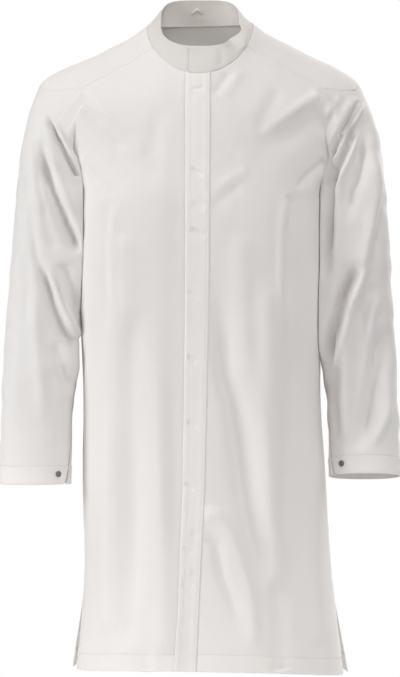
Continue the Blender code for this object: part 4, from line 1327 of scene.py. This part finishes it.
@dataclass
class Fronts(HemmedPanel):
    """The two front panels, with their hems and slits."""

    hem_rows: Pair = (0.0195, 0.0246)
    side_stitch: float = 0.0046
    spacing: float = 0.0036
    slit_in: float = 0.0030
    dips_at_yoke: Pair = (0.0016, 0.0009)
    cut: Cut = Cut((0.345, 1.010), 0.262)

    def panel(self, side: Side) -> Piece:
        """Builds one front panel and its stitching.

        Args:
            side: the wearer's left or right.

        Returns:
            The panel's object.
        """
        body = self.body
        left = side is Side.LEFT
        v = with_hem_rows(stations(1.0, self.spacing), *self.hem_rows)
        u = stations(0.28, self.spacing)
        middle = body.front_middle(v, 2, 0.0 if left else -body.underlap_reach)
        if not left:
            middle[:, 0] = 180.0 - middle[:, 0]
        outer = body.side_then(v * FRONT_STEPS, ((BACK_STEPS, body.armhole_front),
                                                 (FRONT_STEPS, body.yoke_front[::-1])))
        hem = np.stack([middle[0, 0] * (1.0 - u), np.zeros_like(u)], axis=-1)
        neck = np.stack([middle[-1, 0] + (body.yoke_front[0][0] - middle[-1, 0]) * u,
                         np.full_like(u, body.neck)], axis=-1)
        patch = coons(hem, neck, middle, outer, u, v)
        angle, level = patch[..., 0], patch[..., 1]
        near_side = smooth((u[None, :] - 2.0 / 3.0) * 3.0)
        out = -self.slit_in * body.slit_share(level) * near_side
        if left:
            points = body.cloth(angle, level, out)
        else:
            place = body.plain(180.0 - angle, level)
            edge = body.fly_x(place[..., 2], 1)
            dip = body.underlap_dip * smooth((place[..., 0] - (edge - 0.045)) / 0.040)
            points = body.cloth(180.0 - angle, level, out - dip)[:, ::-1]
        grid = ClothGrid(points)
        side_edge = Edge.LAST_COLUMN if left else Edge.FIRST_COLUMN
        grid.stitch_groove(Edge.FIRST_ROW, self.hem_height, self.hem_groove)
        grid.stitch_groove(side_edge, self.side_stitch, 0.0002)
        grid.roll(Edge.FIRST_ROW)
        grid.seam(side_edge, 1.0 - smooth((v - 25.7 / FRONT_STEPS) / 0.02))
        if left:
            grid.seam(Edge.FIRST_COLUMN, 0.0)
        grid.seam(Edge.LAST_ROW, 0.0, self.dips_at_yoke[0 if left else 1])
        return self.sew(grid, "front_" + side.value, self.cut)


@dataclass
class Back(HemmedPanel):
    """The back panel."""

    hem_rows: Pair = (0.0235, 0.0286)
    spacing: float = 0.0040
    slit_out: float = 0.0040
    side_width: float = 3.0 / 16.0
    cut: Cut = Cut((0.640, 0.960), 0.470)

    def panel(self) -> Piece:
        """Builds the back panel and its stitching, and returns it."""
        body = self.body
        v = with_hem_rows(stations(0.92, self.spacing), *self.hem_rows)
        u = stations(0.52, self.spacing)
        left = body.side_then(v * BACK_STEPS, ((BACK_STEPS, body.armhole_back),))
        right = np.stack([-180.0 - left[:, 0], left[:, 1]], axis=-1)
        hem = np.stack([-180.0 * u, np.zeros_like(u)], axis=-1)
        patch = coons(hem, even(body.yoke_back, u), left, right, u, v)
        angle, level = patch[..., 0], patch[..., 1]
        near_side = smooth(1.0 - np.minimum(u, 1.0 - u) / self.side_width)[None, :]
        points = body.cloth(angle, level, self.slit_out * body.slit_share(level) * near_side)
        grid = ClothGrid(points)
        grid.stitch_groove(Edge.FIRST_ROW, self.hem_height, self.hem_groove)
        grid.roll(Edge.FIRST_ROW)
        free = smooth((body.slit_share(left[:, 1]) - 0.05) / 0.30)
        over = np.maximum(free, smooth((v - 19.8 / BACK_STEPS) / 0.015))
        grid.seam(Edge.FIRST_COLUMN, over)
        grid.seam(Edge.LAST_COLUMN, over)
        grid.seam(Edge.LAST_ROW, 0.0)
        return self.sew(grid, "back", self.cut)


@dataclass
class Yoke:
    """The yoke over both shoulders and the upper back."""

    body: BodyForm
    room: Workroom
    wall: float = 0.0009
    spacing: float = 0.0038
    topstitch: float = 0.0046
    lifted: float = 0.0002
    dip_at_neck: float = 0.0016
    cut: Cut = Cut((0.560, 0.260), 0.092)

    def panel(self) -> Piece:
        """Builds the yoke and its topstitching, and returns it."""
        body = self.body
        u = stations(0.80, self.spacing)
        v = stations(0.17, self.spacing)
        start = self.front_edge(v)
        end = np.stack([-180.0 - start[:, 0], start[:, 1]], axis=-1)
        upper = np.stack([start[-1, 0] + (end[-1, 0] - start[-1, 0]) * u,
                          np.full_like(u, body.neck)], axis=-1)
        patch = coons(self.lower_edge(u), upper, start, end, u, v)
        grid = ClothGrid(body.cloth(patch[..., 0], patch[..., 1]))
        edges = (Edge.FIRST_ROW, Edge.FIRST_COLUMN, Edge.LAST_COLUMN)
        for edge in edges:
            grid.stitch_groove(edge, self.topstitch)
        for edge in edges:
            grid.seam(edge, lifted=self.lifted)
        grid.seam(Edge.LAST_ROW, 0.0, self.dip_at_neck)
        lines = tuple(grid.line(edge, self.topstitch, self.topstitch) for edge in edges)
        return self.room.sew(grid, "yoke", self.wall, self.cut, ("worn_shoulders",), lines)

    def front_edge(self, share: Array) -> Array:
        """The yoke's front edge from the saddle's end up to the neck."""
        return chain(share, ((0.25, self.body.saddle_front[::-1]),
                             (1.0, self.body.yoke_front[::-1])))

    def lower_edge(self, share: Array) -> Array:
        """The yoke's lower edge: saddle end, back corner, back seam and the same again.

        Args:
            share: places from 0 at the left saddle's front corner to 1 at the right one's.

        Returns:
            One (angle, level) for each place.
        """
        body = self.body
        corner, end = (tuple((-180.0 - angle, level) for angle, level in seam[::-1])
                       for seam in (body.saddle_back, body.saddle_end))
        return chain(share * 28.0, ((4.0, body.saddle_end), (6.0, body.saddle_back),
                                    (22.0, body.yoke_back), (24.0, corner), (28.0, end)))


@dataclass
class Fly:
    """The band that covers the front's studs."""

    body: BodyForm
    room: Workroom
    wall: float = 0.0016
    proud: float = 0.0008
    width: float = 0.036
    edge_stitch: float = 0.0078
    seam_stitch: float = 0.0022
    dip_at_neck: float = 0.0026
    cut: Cut = Cut((0.038, 0.940), 0.0325)

    def band(self) -> Piece:
        """Builds the band and its stitching, and returns it."""
        body = self.body
        v = stations(0.93, 0.0024)
        near_edge = np.array((*FINE_STEPS[:6], 0.0062, 0.0075, 0.0085)) / self.width
        u = np.unique(np.concatenate([stations(self.width, 0.0022, fine_start=False), near_edge]))
        free = body.front_middle(v, 1)
        seam = body.front_middle(v, 2)
        patch = free[:, None] + (seam - free)[:, None] * u[None, :, None]
        grid = ClothGrid(body.cloth(patch[..., 0], patch[..., 1], self.proud))
        grid.roll(Edge.FIRST_COLUMN)
        grid.roll(Edge.FIRST_ROW)
        grid.stitch_groove(Edge.FIRST_COLUMN, self.edge_stitch, 0.0003)
        grid.stitch_groove(Edge.LAST_COLUMN, self.seam_stitch, 0.0002)
        grid.seam(Edge.LAST_COLUMN)
        grid.seam(Edge.LAST_ROW, 0.0, self.dip_at_neck)
        lines = (grid.line(Edge.FIRST_COLUMN, self.edge_stitch),
                 grid.line(Edge.LAST_COLUMN, self.seam_stitch))
        return self.room.sew(grid, "placket_band", self.wall, self.cut,
                             ("cloth_front_left", "cloth_front_right"), lines,
                             names=("cloth_fly_band", "fly_stitching"))


@dataclass
class Collar:
    """The stand collar with its lapped end."""

    body: BodyForm
    room: Workroom
    half_width: float = 0.0628
    front_depth: float = 0.075
    back_depth: float = 0.067
    front_roundness: float = 0.72
    back_roundness: float = 0.50
    z_side: float = 0.0105
    tilt: float = 0.635
    wall: float = 0.0021
    bulge: float = 0.0016
    lap_x: float = -0.0186
    lap_from: float = 62.0
    lap_drop: float = 0.0042
    under_x: float = 0.034
    under_dip: float = 0.0034
    spacing: float = 0.0026
    edge_stitch: float = 0.0046
    lap_groove: float = 0.0024
    edge_roll: float = 0.0006
    cut: Cut = Cut((0.500, 0.052), 0.0205)

    def rim(self, angle: Array) -> Array:
        """Points on the collar's rim.

        Args:
            angle: the angles round it in degrees.

        Returns:
            A point for each angle.
        """
        cosine, sine = np.cos(np.radians(angle)), np.sin(np.radians(angle))
        front = sine > 0.0
        roundness = np.where(front, self.front_roundness, self.back_roundness)
        depth = np.where(front, self.front_depth, self.back_depth)
        y = -depth * signed_power(sine, roundness)
        return np.stack([self.half_width * signed_power(cosine, roundness), y,
                         self.z_side + self.tilt * y], axis=-1)

    def point(self, angle: Array, share: Array) -> Array:
        """Points of the collar.

        Args:
            angle: the angles round it in degrees.
            share: 0 at the neck seam and 1 at the rim.

        Returns:
            A point for each place.
        """
        lap = float(self.body.angle_at(self.lap_x, self.body.neck))
        dip = self.under_dip * smooth((-180.0 - angle - 25.0) / 45.0)
        over = smooth((angle - self.lap_from) / (lap - self.lap_from))
        foot = self.body.cloth(angle, np.full_like(angle, self.body.neck), -dip)
        rim = self.rim(angle)
        outward = unit(rim * np.array([1.0, 1.0, 0.0]))
        rim = rim - outward * dip[..., None]
        rim[..., 2] -= self.lap_drop * over
        share = share[..., None]
        middle = foot * (1.0 - share) + rim * share
        fold = push_all(COLLAR_CREASES, middle[..., 0], middle[..., 2])
        fold = fold * (np.sin(np.radians(angle)) > 0.05)
        return middle + outward * (self.bulge * np.sin(math.pi * share) + fold[..., None])

    def stand(self) -> Piece:
        """Builds the collar and its edge stitching, and returns it."""
        lap = float(self.body.angle_at(self.lap_x, self.body.neck))
        last = float(self.body.angle_at(self.under_x, self.body.neck)) - 360.0
        u = stations(0.50, self.spacing, fine_end=False)
        v = stations(0.046, self.spacing)
        share, angle = np.meshgrid(v, lap + (last - lap) * u, indexing="ij")
        grid = ClothGrid(self.point(angle, share))
        grid.stitch_groove(Edge.LAST_ROW, self.edge_stitch, 0.00025)
        grid.stitch_groove(Edge.FIRST_COLUMN, self.lap_groove, 0.0012)
        for edge in (Edge.LAST_ROW, Edge.FIRST_COLUMN, Edge.LAST_COLUMN):
            grid.roll(edge, self.edge_roll)
        grid.seam(Edge.FIRST_ROW, lifted=0.0003)
        lines = (grid.line(Edge.LAST_ROW, self.edge_stitch, 0.004),
                 grid.line(Edge.FIRST_ROW, 0.0012))
        return self.room.sew(grid, "collar", self.wall, self.cut, ("cloth_yoke",), lines)


@dataclass
class HangerLoop:
    """A narrow tape inside the back of the collar."""

    collar: Collar
    room: Workroom
    middle_x: float = -0.005
    span: float = 0.016
    foot: float = 0.44
    rise: float = 0.17
    stand_off: float = 0.004
    width: float = 0.0032
    wall: float = 0.0008
    gap: float = 0.0009
    cut: Cut = Cut((0.0100, 0.030), 0.0001)

    def tape(self) -> Piece:
        """Builds the tape and returns it."""
        share = np.linspace(0.0, 1.0, 25)
        rise = np.sin(math.pi * share)
        height = self.foot + self.rise * rise
        x = self.middle_x + self.span * (share - 0.5)
        angles = np.linspace(-120.0, -60.0, 1201)
        centre = []
        for place, level, lift in zip(x, height, rise):
            ring = self.collar.point(angles, np.full_like(angles, level))
            nearest = int(np.argmin(np.abs(ring[:, 0] - place)))
            back = self.collar.wall + self.gap + self.stand_off * lift
            centre.append(ring[nearest] - np.array([0.0, back, 0.0]))
        centre = np.array(centre)
        along = unit(np.gradient(centre, axis=0))
        across = unit(np.cross(along, np.array([0.0, 1.0, 0.0])))
        steps = np.linspace(-0.5, 0.5, 5)
        grid = centre[None] - across[None] * (steps[:, None, None] * self.width)
        return self.room.sew(ClothGrid(grid[::-1]), "hanger_loop", self.wall, self.cut,
                             ("cloth_collar",), held="stretched")


@dataclass(frozen=True)
class Hang:
    """How one sleeve hangs, since no two hang alike.

    in_by is how far the front's inner quarter hangs in against the body, in_by_upper the share
    of it above the elbow, clear_by how far it keeps from the body's smooth side, lowest where it
    ends, and inner_x how near the middle it comes. stretch scales the sleeve's length, inward
    the rows' own inward hang, and pitch is how far the cuff's front tips up. slim_by draws the
    outside in, over slim_ramps. dip is how far the armhole's edge is drawn in, and seed picks
    the pattern of the soft waves.
    """

    in_by: float
    in_by_upper: float
    clear_by: float
    lowest: float
    inner_x: float
    stretch: float
    inward: float
    pitch: float
    slim_by: float
    slim_ramps: Pairs
    dip: float
    seed: int


HANGS = {
    Side.LEFT: Hang(in_by=0.0150, in_by_upper=0.40, clear_by=0.0009, lowest=-0.555, inner_x=0.1866,
                    stretch=0.9735, inward=1.872, pitch=0.0075, slim_by=0.0022,
                    slim_ramps=((-0.34, -0.08), (-0.64, 0.10)), dip=0.0003, seed=31),
    Side.RIGHT: Hang(in_by=0.0230, in_by_upper=1.0, clear_by=0.0006, lowest=-0.455, inner_x=0.1836,
                     stretch=1.0, inward=2.6, pitch=0.001, slim_by=0.0042,
                     slim_ramps=((-0.11, -0.06), (-0.56, 0.22)), dip=0.0, seed=37),
}


@dataclass
class SleeveForm:
    """One sleeve's smooth form, from the armhole to the cuff's edge.

    A row holds x and z outside, x and z inside, the middle's y, half the depth, and how far the
    front inner quarter hangs inward.
    """

    body: BodyForm
    side: Side
    rows: tuple[tuple[float, ...], ...] = (
        (0.2770, -0.147, 0.1974, -0.275, 0.000, 0.074, 0.015),
        (0.2916, -0.213, 0.1958, -0.320, -0.004, 0.079, 0.018),
        (0.2995, -0.300, 0.1955, -0.370, -0.006, 0.077, 0.021),
        (0.3068, -0.410, 0.1952, -0.440, -0.008, 0.071, 0.021),
        (0.3132, -0.530, 0.1945, -0.535, -0.014, 0.062, 0.016),
        (0.3158, -0.615, 0.2025, -0.615, -0.022, 0.054, 0.006),
        (0.3172, -0.7005, 0.2045, -0.7005, -0.031, 0.047, 0.000),
        (0.3182, -0.7270, 0.2045, -0.7270, -0.034, 0.046, 0.000),
    )
    square: float = 0.92
    lead: float = 0.030
    stretch_from: float = -0.275
    vent_from: float = 5.425
    vent_front: float = 36.0
    vent_back: float = -27.0
    vent_out: float = 0.0006
    steps: int = 20
    hang_top: float = -0.200
    broad_wave: float = 0.042
    broad_depth: float = 0.0014
    fine_wave: float = 0.016
    fine_depth: float = 0.0005

    @property
    def hang(self) -> Hang:
        """How this sleeve hangs."""
        return HANGS[self.side]

    def armhole(self, index: Array) -> Array:
        """(angle, level) round the armhole: underarm, front, saddle, back, underarm."""
        body = self.body
        return chain(index, ((6.0, body.armhole_front), (8.0, body.saddle_front),
                             (12.0, body.saddle_end), (14.0, body.saddle_back),
                             (20.0, body.armhole_back[::-1])))

    def loop(self, index: Array) -> Array:
        """The armhole's points, given as if on the left.

        Args:
            index: places round it.

        Returns:
            A point for each place.
        """
        edge = self.armhole(index)
        if self.side is Side.LEFT:
            return self.body.cloth(edge[:, 0], edge[:, 1])
        return self.body.cloth(180.0 - edge[:, 0], edge[:, 1]) * np.array([-1.0, 1.0, 1.0])

    def leads(self, index: Array, loop: Array) -> Array:
        """Points inside the body's cloth that the sleeve's lines run on from.

        Args:
            index: the columns' places round the armhole.
            loop: the armhole's points there.

        Returns:
            A point for each place.
        """
        edge = self.armhole(index)
        before = self.loop((index - 0.7) % self.steps)
        after = self.loop((index + 0.7) % self.steps)
        normal = self.body.normal(edge[:, 0], edge[:, 1])
        return loop - unit(np.cross(after - before, normal)) * self.lead

    def vent(self, position: Array) -> Array:
        """0 above the vent, growing to 1 at the cuff's edge."""
        return np.maximum(0.0, (position - self.vent_from) / (len(self.rows) - self.vent_from))

    def plain(self, position: Array, index: Array) -> Array:
        """Points of the smooth form.

        Args:
            position: places along the sleeve; 0 is the armhole, then the rows in turn.
            index: the columns' places round it.

        Returns:
            Points, rows by columns.
        """
        spread = (self.vent_back * np.maximum(0.0, 1.0 - (self.steps - index) / 3.0)
                  - self.vent_front * np.maximum(0.0, 1.0 - index / 3.0))
        angle = 180.0 - 360.0 * index / self.steps + self.vent(position)[:, None] * spread
        cosine = signed_power(np.cos(np.radians(angle)), self.square)
        sine = signed_power(np.sin(np.radians(angle)), self.square)
        loop = self.loop(index)
        flat = np.ones_like(angle)[..., None]
        stack = [self.leads(index, loop) * flat, loop * flat]
        hang = self.hang
        quarter = hang.inward * np.maximum(0.0, -cosine) * np.maximum(0.0, sine) ** 2
        for x_out, z_out, x_in, z_in, y_centre, half_depth, inward in self.rows:
            x = 0.5 * (x_out + x_in) + 0.5 * (x_out - x_in) * cosine - inward * quarter
            z = 0.5 * (z_out + z_in) + 0.5 * (z_out - z_in) * cosine
            z = np.where(z < self.stretch_from,
                         self.stretch_from + (z - self.stretch_from) * hang.stretch, z)
            z = z + hang.pitch * smooth((self.stretch_from - z) / 0.40) * sine
            stack.append(np.stack([x, y_centre - half_depth * sine, z], axis=-1))
        rings = np.stack(stack)
        place = position + 1.0
        last = len(rings) - 1
        start = np.clip(np.floor(place), 0, last - 1).astype(int)
        row = np.arange(len(position))
        parts = [rings[np.clip(start + step, 0, last), row] for step in (-1, 0, 1, 2)]
        return blend_rows(parts, (place - start)[:, None, None])

    def settle(self, grid: Array, angle: Array) -> tuple[Array, Array]:
        """Hangs the inner front quarter in against the body's side and slims the outside.

        Args:
            grid: the sleeve's points, rows by columns.
            angle: the angle of each column in radians.

        Returns:
            Each point's new x, and the least x that folds may then give it.
        """
        hang = self.hang
        x, y, z = np.moveaxis(grid, -1, 0)
        quarter = smooth((np.sin(angle) + 0.18) / 0.55) * smooth(-np.cos(angle) / 0.35)
        height = window(z, (self.hang_top, -0.05), (hang.lowest, 0.08))
        height = height * (hang.in_by_upper
                           + (1.0 - hang.in_by_upper) * window(z, (-0.37, -0.07)))
        right = self.side is Side.RIGHT
        shift = self.body.ring(self.body.level_at(z, False))["x_shift"] * (-1.0 if right else 1.0)
        side = self.body.side_at(y, z, right)
        limit = np.maximum(side + shift + hang.clear_by, hang.inner_x)
        inner = np.maximum(x - hang.in_by * quarter[None, :] * height, np.minimum(x, limit))
        held = (np.cos(angle) < 0.0)[None, :] & (height > 0.0)
        slim = hang.slim_by * window(z, *hang.slim_ramps)
        outer = slim * np.maximum(0.0, np.cos(angle))[None, :]
        return inner - outer, np.where(held, limit, -1.0)

    def cloth(self, position: Array, index: Array) -> Array:
        """Points of the sleeve's cloth, mirrored for the wearer's right.

        Args:
            position: the rows' places along the sleeve.
            index: the columns' places round it, 0 and 20 both at the underarm.

        Returns:
            Points, rows by columns, with columns in the order that faces outwards.
        """
        grid = self.plain(position, index)
        angle = np.radians(180.0 - 360.0 * index / self.steps)
        grid[..., 0], limit = self.settle(grid, angle)
        normal = -grid_normals(grid, int(np.sum(position < self.vent_from)))
        sine = np.sin(angle)[None, :] + 0.0 * position[:, None]
        inside = (np.cos(angle) < 0.0)[None, :]
        facing = np.where(inside, smooth((np.abs(sine) - 0.20) / 0.42), smooth(np.abs(sine) / 0.42))
        x, z = grid[..., 0], grid[..., 2]
        push = np.where(sine > 0.0, push_all(SLEEVE_CREASES[self.side, "front"], x, z),
                        push_all(SLEEVE_CREASES[self.side, "back"], x, z))
        around = grid[..., 1] + 0.5 * x
        soft = self.broad_depth * ripple(around + 1.5 * z, z * 0.8 - 0.4 * around,
                                         self.broad_wave, self.hang.seed)
        soft += self.fine_depth * ripple(around, z, self.fine_wave, self.hang.seed + 1)
        end = float(len(self.rows) - 1)
        fade = (smooth(position / 0.45) * smooth((end - position) / 0.7))[:, None]
        push = (push * facing + soft) * fade
        settled = grid[..., 0]
        push = np.where((limit > 0.0) & (push < 0.0), push * smooth((settled - limit) / 0.009), push)
        grid = grid + normal * push[..., None]
        grid[..., 0] = np.maximum(grid[..., 0], np.minimum(settled, limit))
        flap = (self.vent_out * self.vent(position)[:, None]
                * smooth((3.0 - (self.steps - index)) / 3.0)[None, :])
        grid[..., 0] -= flap
        if self.side is Side.RIGHT:
            grid[..., 0] *= -1.0
            return grid
        return grid[:, ::-1]


@dataclass
class Sleeve:
    """A set-in sleeve, its vented cuff and the cuff's stud."""

    form: SleeveForm
    room: Workroom
    wall: float = 0.0008
    cuff_wall: float = 0.0017
    front_spacing: float = 0.0024
    back_spacing: float = 0.0050
    upper_spacing: float = 0.0026
    lower_spacing: float = 0.0036
    upper_length: float = 0.30
    cut: Cut = Cut((0.480, 0.640), 0.222)
    cuff_cut: Cut = Cut((0.330, 0.030), 0.0086)
    cuff_length: float = 0.0265
    cuff_proud: float = 0.0003
    cuff_stitch: float = 0.0022
    stud_row: float = 0.22
    stud_column: float = 2.45
    stud_radius: float = 0.0049
    stud_height: float = 0.0022
    stud_lift: float = 0.0007
    stud_sides: int = 40
    stud_profile: Pairs = (
        (0.0, 0.60), (0.12, 0.62), (0.28, 0.55), (0.40, 0.60), (0.46, 0.80), (0.54, 1.00),
        (0.66, 1.08), (0.80, 1.00), (0.92, 0.78), (0.99, 0.45), (1.00, 0.20), (0.97, 0.0))

    @property
    def name(self) -> str:
        """The wearer's side as a word."""
        return self.form.side.value

    def columns(self, front: float, back: float) -> Array:
        """Places of the columns: the front half, then the back, closest beside the vent.

        Args:
            front, back: the distance between columns in each half, in metres.

        Returns:
            Places round the sleeve, from 0 to its number of steps.
        """
        half = 0.5 * self.form.steps
        first = stations(0.20, front, fine_end=False)
        return np.concatenate([first, 1.0 + stations(0.20, back, fine_start=False)[1:]]) * half

    def tube(self) -> Piece:
        """Builds the sleeve from the armhole to the cuff, and returns it."""
        form = self.form
        position = self.rows()
        index = self.columns(self.front_spacing, self.back_spacing)
        grid = ClothGrid(form.cloth(position, index), int(np.sum(position < form.vent_from)))
        vent = smooth(form.vent(position) * 8.0)[:, None]
        for edge in (Edge.FIRST_COLUMN, Edge.LAST_COLUMN):
            grid.roll(edge, SEAM_ROLL * vent)
        grid.seam(Edge.FIRST_ROW, 0.0, form.hang.dip)
        grid.seam(Edge.LAST_ROW, 0.0)
        return self.room.sew(grid, "sleeve_" + self.name, self.wall, self.cut, ("cloth_yoke",))

    def rows(self) -> Array:
        """Places of the rows along the sleeve, from the armhole to the cuff's seam."""
        form = self.form
        table = np.linspace(0.0, len(form.rows) - 1.0, 400)
        lines = form.plain(table, np.array([4.0, 10.0, 16.0]))
        steps = np.linalg.norm(np.diff(lines, axis=0), axis=-1).mean(axis=1)
        reach = np.concatenate([[0.0], np.cumsum(steps)])
        upper, lower = self.upper_length, reach[-1] - self.upper_length
        first = stations(upper, self.upper_spacing, fine_end=False) * upper
        second = upper + stations(lower, self.lower_spacing, fine_start=False)[1:] * lower
        return np.interp(np.concatenate([first, second]), reach, table)

    def cuff(self) -> Piece:
        """Builds the cuff and its stitching, and returns it."""
        form = self.form
        seam = float(len(form.rows) - 1)
        position = seam + stations(self.cuff_length, 0.0022)
        index = self.columns(0.0026, 0.0036)
        grid = ClothGrid(form.cloth(position, index))
        grid.move(np.full(grid.points.shape[:2], self.cuff_proud))
        sides = (Edge.LAST_ROW, Edge.FIRST_COLUMN, Edge.LAST_COLUMN)
        for edge in sides:
            grid.stitch_groove(edge, self.cuff_stitch, 0.0002)
            grid.roll(edge)
        grid.seam(Edge.FIRST_ROW)
        lines = tuple(grid.line(edge, self.cuff_stitch, self.cuff_stitch)
                      for edge in (*sides, Edge.FIRST_ROW))
        return self.room.sew(grid, "cuff_" + self.name, self.cuff_wall, self.cuff_cut,
                             ("cloth_sleeve_" + self.name,), lines)

    def stud(self, metal: Material) -> Piece:
        """Builds the cuff's ring-and-cap press stud.

        Args:
            metal: its material.

        Returns:
            The stud's object.
        """
        form = self.form
        rows = len(form.rows) - 1.0 + self.stud_row + np.array([-0.05, 0.0, 0.05])
        patch = form.cloth(rows, self.stud_column + np.array([-0.1, 0.0, 0.1]))
        outward = unit(np.cross(patch[1, 2] - patch[1, 0], patch[2, 1] - patch[0, 1]))
        if outward[1] > 0.0:
            outward = -outward
        across = unit(np.cross(outward, np.array([0.0, 0.0, 1.0])))
        upward = unit(np.cross(across, outward))
        base = patch[1, 1] + outward * self.stud_lift
        turns = 2.0 * math.pi * np.arange(self.stud_sides) / self.stud_sides
        circle = across * np.cos(turns)[:, None] + upward * np.sin(turns)[:, None]
        rises = [outward * rise * self.stud_height for _, rise in self.stud_profile]
        vertices = [base + rises[0]]
        for (size, _), rise in zip(self.stud_profile[1:], rises[1:]):
            vertices += list(base + rise + self.stud_radius * size * circle)
        vertices.append(base)
        mesh = bpy.data.meshes.new("metal_cuff_stud_" + self.name)
        mesh.from_pydata([tuple(place) for place in vertices], [], self.stud_faces())
        mesh.shade_smooth()
        mesh.materials.append(metal)
        piece = link(mesh.name, mesh)
        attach(piece, "root")
        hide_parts("cuff_stud_" + self.name)
        LOG.info("%s built", piece.name)
        return piece

    def stud_faces(self) -> list[tuple[int, ...]]:
        """The stud's faces: a fan on its top and one below it, then the bands between them."""
        sides, rings = self.stud_sides, len(self.stud_profile) - 1
        last = 1 + (rings - 1) * sides
        quads, triangles = [], []
        for side in range(sides):
            after = (side + 1) % sides
            triangles.append((0, 1 + side, 1 + after))
            triangles.append((1 + rings * sides, last + after, last + side))
            for start in range(1, last, sides):
                quads.append((start + side, start + sides + side, start + sides + after,
                              start + after))
        return triangles + quads


# ---- the studio ----
@dataclass(frozen=True)
class Lamp:
    """One square soft lamp, which faces the coat's middle at a given height."""

    name: str
    place: Place
    aim_z: float
    size: float
    power: float
    colour: Place

    def hang(self) -> None:
        """Adds the lamp to the scene."""
        light = bpy.data.lights.new(self.name, "AREA")
        light.shape = "SQUARE"
        light.size = self.size
        light.energy = self.power
        light.color = self.colour
        holder = link(self.name, light)
        holder.location = self.place
        way = Vector((0.0, 0.0, self.aim_z)) - Vector(self.place)
        holder.rotation_euler = way.to_track_quat("-Z", "Y").to_euler()


LAMPS = (
    Lamp("side", (-3.3, -1.5, 0.6), -0.50, 1.7, 71.0, (1.0, 0.99, 0.98)),
    Lamp("front", (0.0, -4.6, 1.2), -0.50, 2.0, 47.0, (1.0, 0.985, 0.97)),
    Lamp("fill", (2.8, -3.0, -0.2), -0.50, 2.2, 18.0, (1.0, 1.0, 1.0)),
    Lamp("top", (1.0, -1.0, 2.6), -0.20, 2.5, 48.0, (1.0, 0.97, 0.95)),
    Lamp("rear", (1.6, 3.2, 1.2), -0.40, 2.0, 130.0, (0.98, 0.99, 1.0)),
    Lamp("low", (-3.2, -2.0, -0.8), -0.60, 1.6, 10.0, (0.94, 0.97, 1.0)),
)


@dataclass
class Studio:
    """Floor, backdrop, lights and camera."""

    camera_place: Place = (0.0, -4.0, -0.497)
    lens: float = 133.0
    floor_z: float = -1.30
    floor_radius: float = 1.7
    floor_sides: int = 96
    ambient: float = 0.24
    ambient_colour: Place = (1.0, 0.985, 0.97)

    def build(self) -> None:
        """Builds the whole studio."""
        self.world()
        self.floor()
        self.backdrop()
        for lamp in LAMPS:
            lamp.hang()
        self.camera()
        bpy.context.scene.view_settings.view_transform = "Standard"
        LOG.info("studio built")

    def camera(self) -> None:
        """The camera, level and facing the coat's front."""
        camera = bpy.data.cameras.new("camera")
        camera.lens = self.lens
        camera.sensor_width = 36.0
        camera.clip_end = 200.0
        holder = link("camera", camera)
        holder.location = self.camera_place
        holder.rotation_euler = (math.radians(90.0), 0.0, 0.0)
        bpy.context.scene.camera = holder

    def world(self) -> None:
        """A plain soft surround light."""
        world = bpy.data.worlds.new("surround")
        bpy.context.scene.world = world
        world.use_nodes = True
        fill_inputs(world.node_tree.nodes["Background"],
                    {"Color": opaque(self.ambient_colour), "Strength": self.ambient})

    def floor(self) -> None:
        """A pale round floor well below the hem."""
        turns = 2.0 * math.pi * np.arange(self.floor_sides) / self.floor_sides
        points = [(self.floor_radius * math.cos(turn), self.floor_radius * math.sin(turn),
                   self.floor_z) for turn in turns]
        mesh = bpy.data.meshes.new("floor")
        mesh.from_pydata(points, [], [tuple(range(self.floor_sides))])
        mesh.materials.append(new_material("pale_floor", {"Base Color": opaque((0.86, 0.86, 0.86)),
                                                          "Roughness": 0.9}))
        link("floor", mesh)

    def backdrop(self) -> None:
        """A plain white surround that only the camera sees."""
        bpy.ops.mesh.primitive_uv_sphere_add(segments=48, ring_count=24, radius=40.0)
        piece = bpy.context.object
        piece.name = "backdrop"
        material = bpy.data.materials.new("white_backdrop")
        material.use_nodes = True
        nodes = material.node_tree.nodes
        nodes.remove(nodes["Principled BSDF"])
        glow = add_node(material, "Emission", {"Color": opaque((1.0, 1.0, 1.0)), "Strength": 1.0},
                        {})
        material.node_tree.links.new(glow.outputs["Emission"],
                                     nodes["Material Output"].inputs["Surface"])
        piece.data.materials.append(material)
        for flag in ("visible_diffuse", "visible_glossy", "visible_transmission",
                     "visible_volume_scatter", "visible_shadow"):
            setattr(piece, flag, False)


def main() -> None:
    """Builds the dressed coat in its frame."""
    logging.basicConfig(level=logging.INFO, format="%(name)s: %(message)s")
    for old in list(bpy.data.objects):
        bpy.data.objects.remove(old, do_unlink=True)
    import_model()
    Studio().build()
    body = BodyForm()
    room = Workroom()
    fronts = Fronts(body, room)
    fronts.panel(Side.LEFT)
    fronts.panel(Side.RIGHT)
    Back(body, room).panel()
    Yoke(body, room).panel()
    Fly(body, room).band()
    collar = Collar(body, room)
    collar.stand()
    HangerLoop(collar, room).tape()
    metal = StudMetal().material("dark_steel")
    for side in Side:
        sleeve = Sleeve(SleeveForm(body, side), room)
        sleeve.tube()
        sleeve.cuff()
        sleeve.stud(metal)


if __name__ == "__main__":
    main()
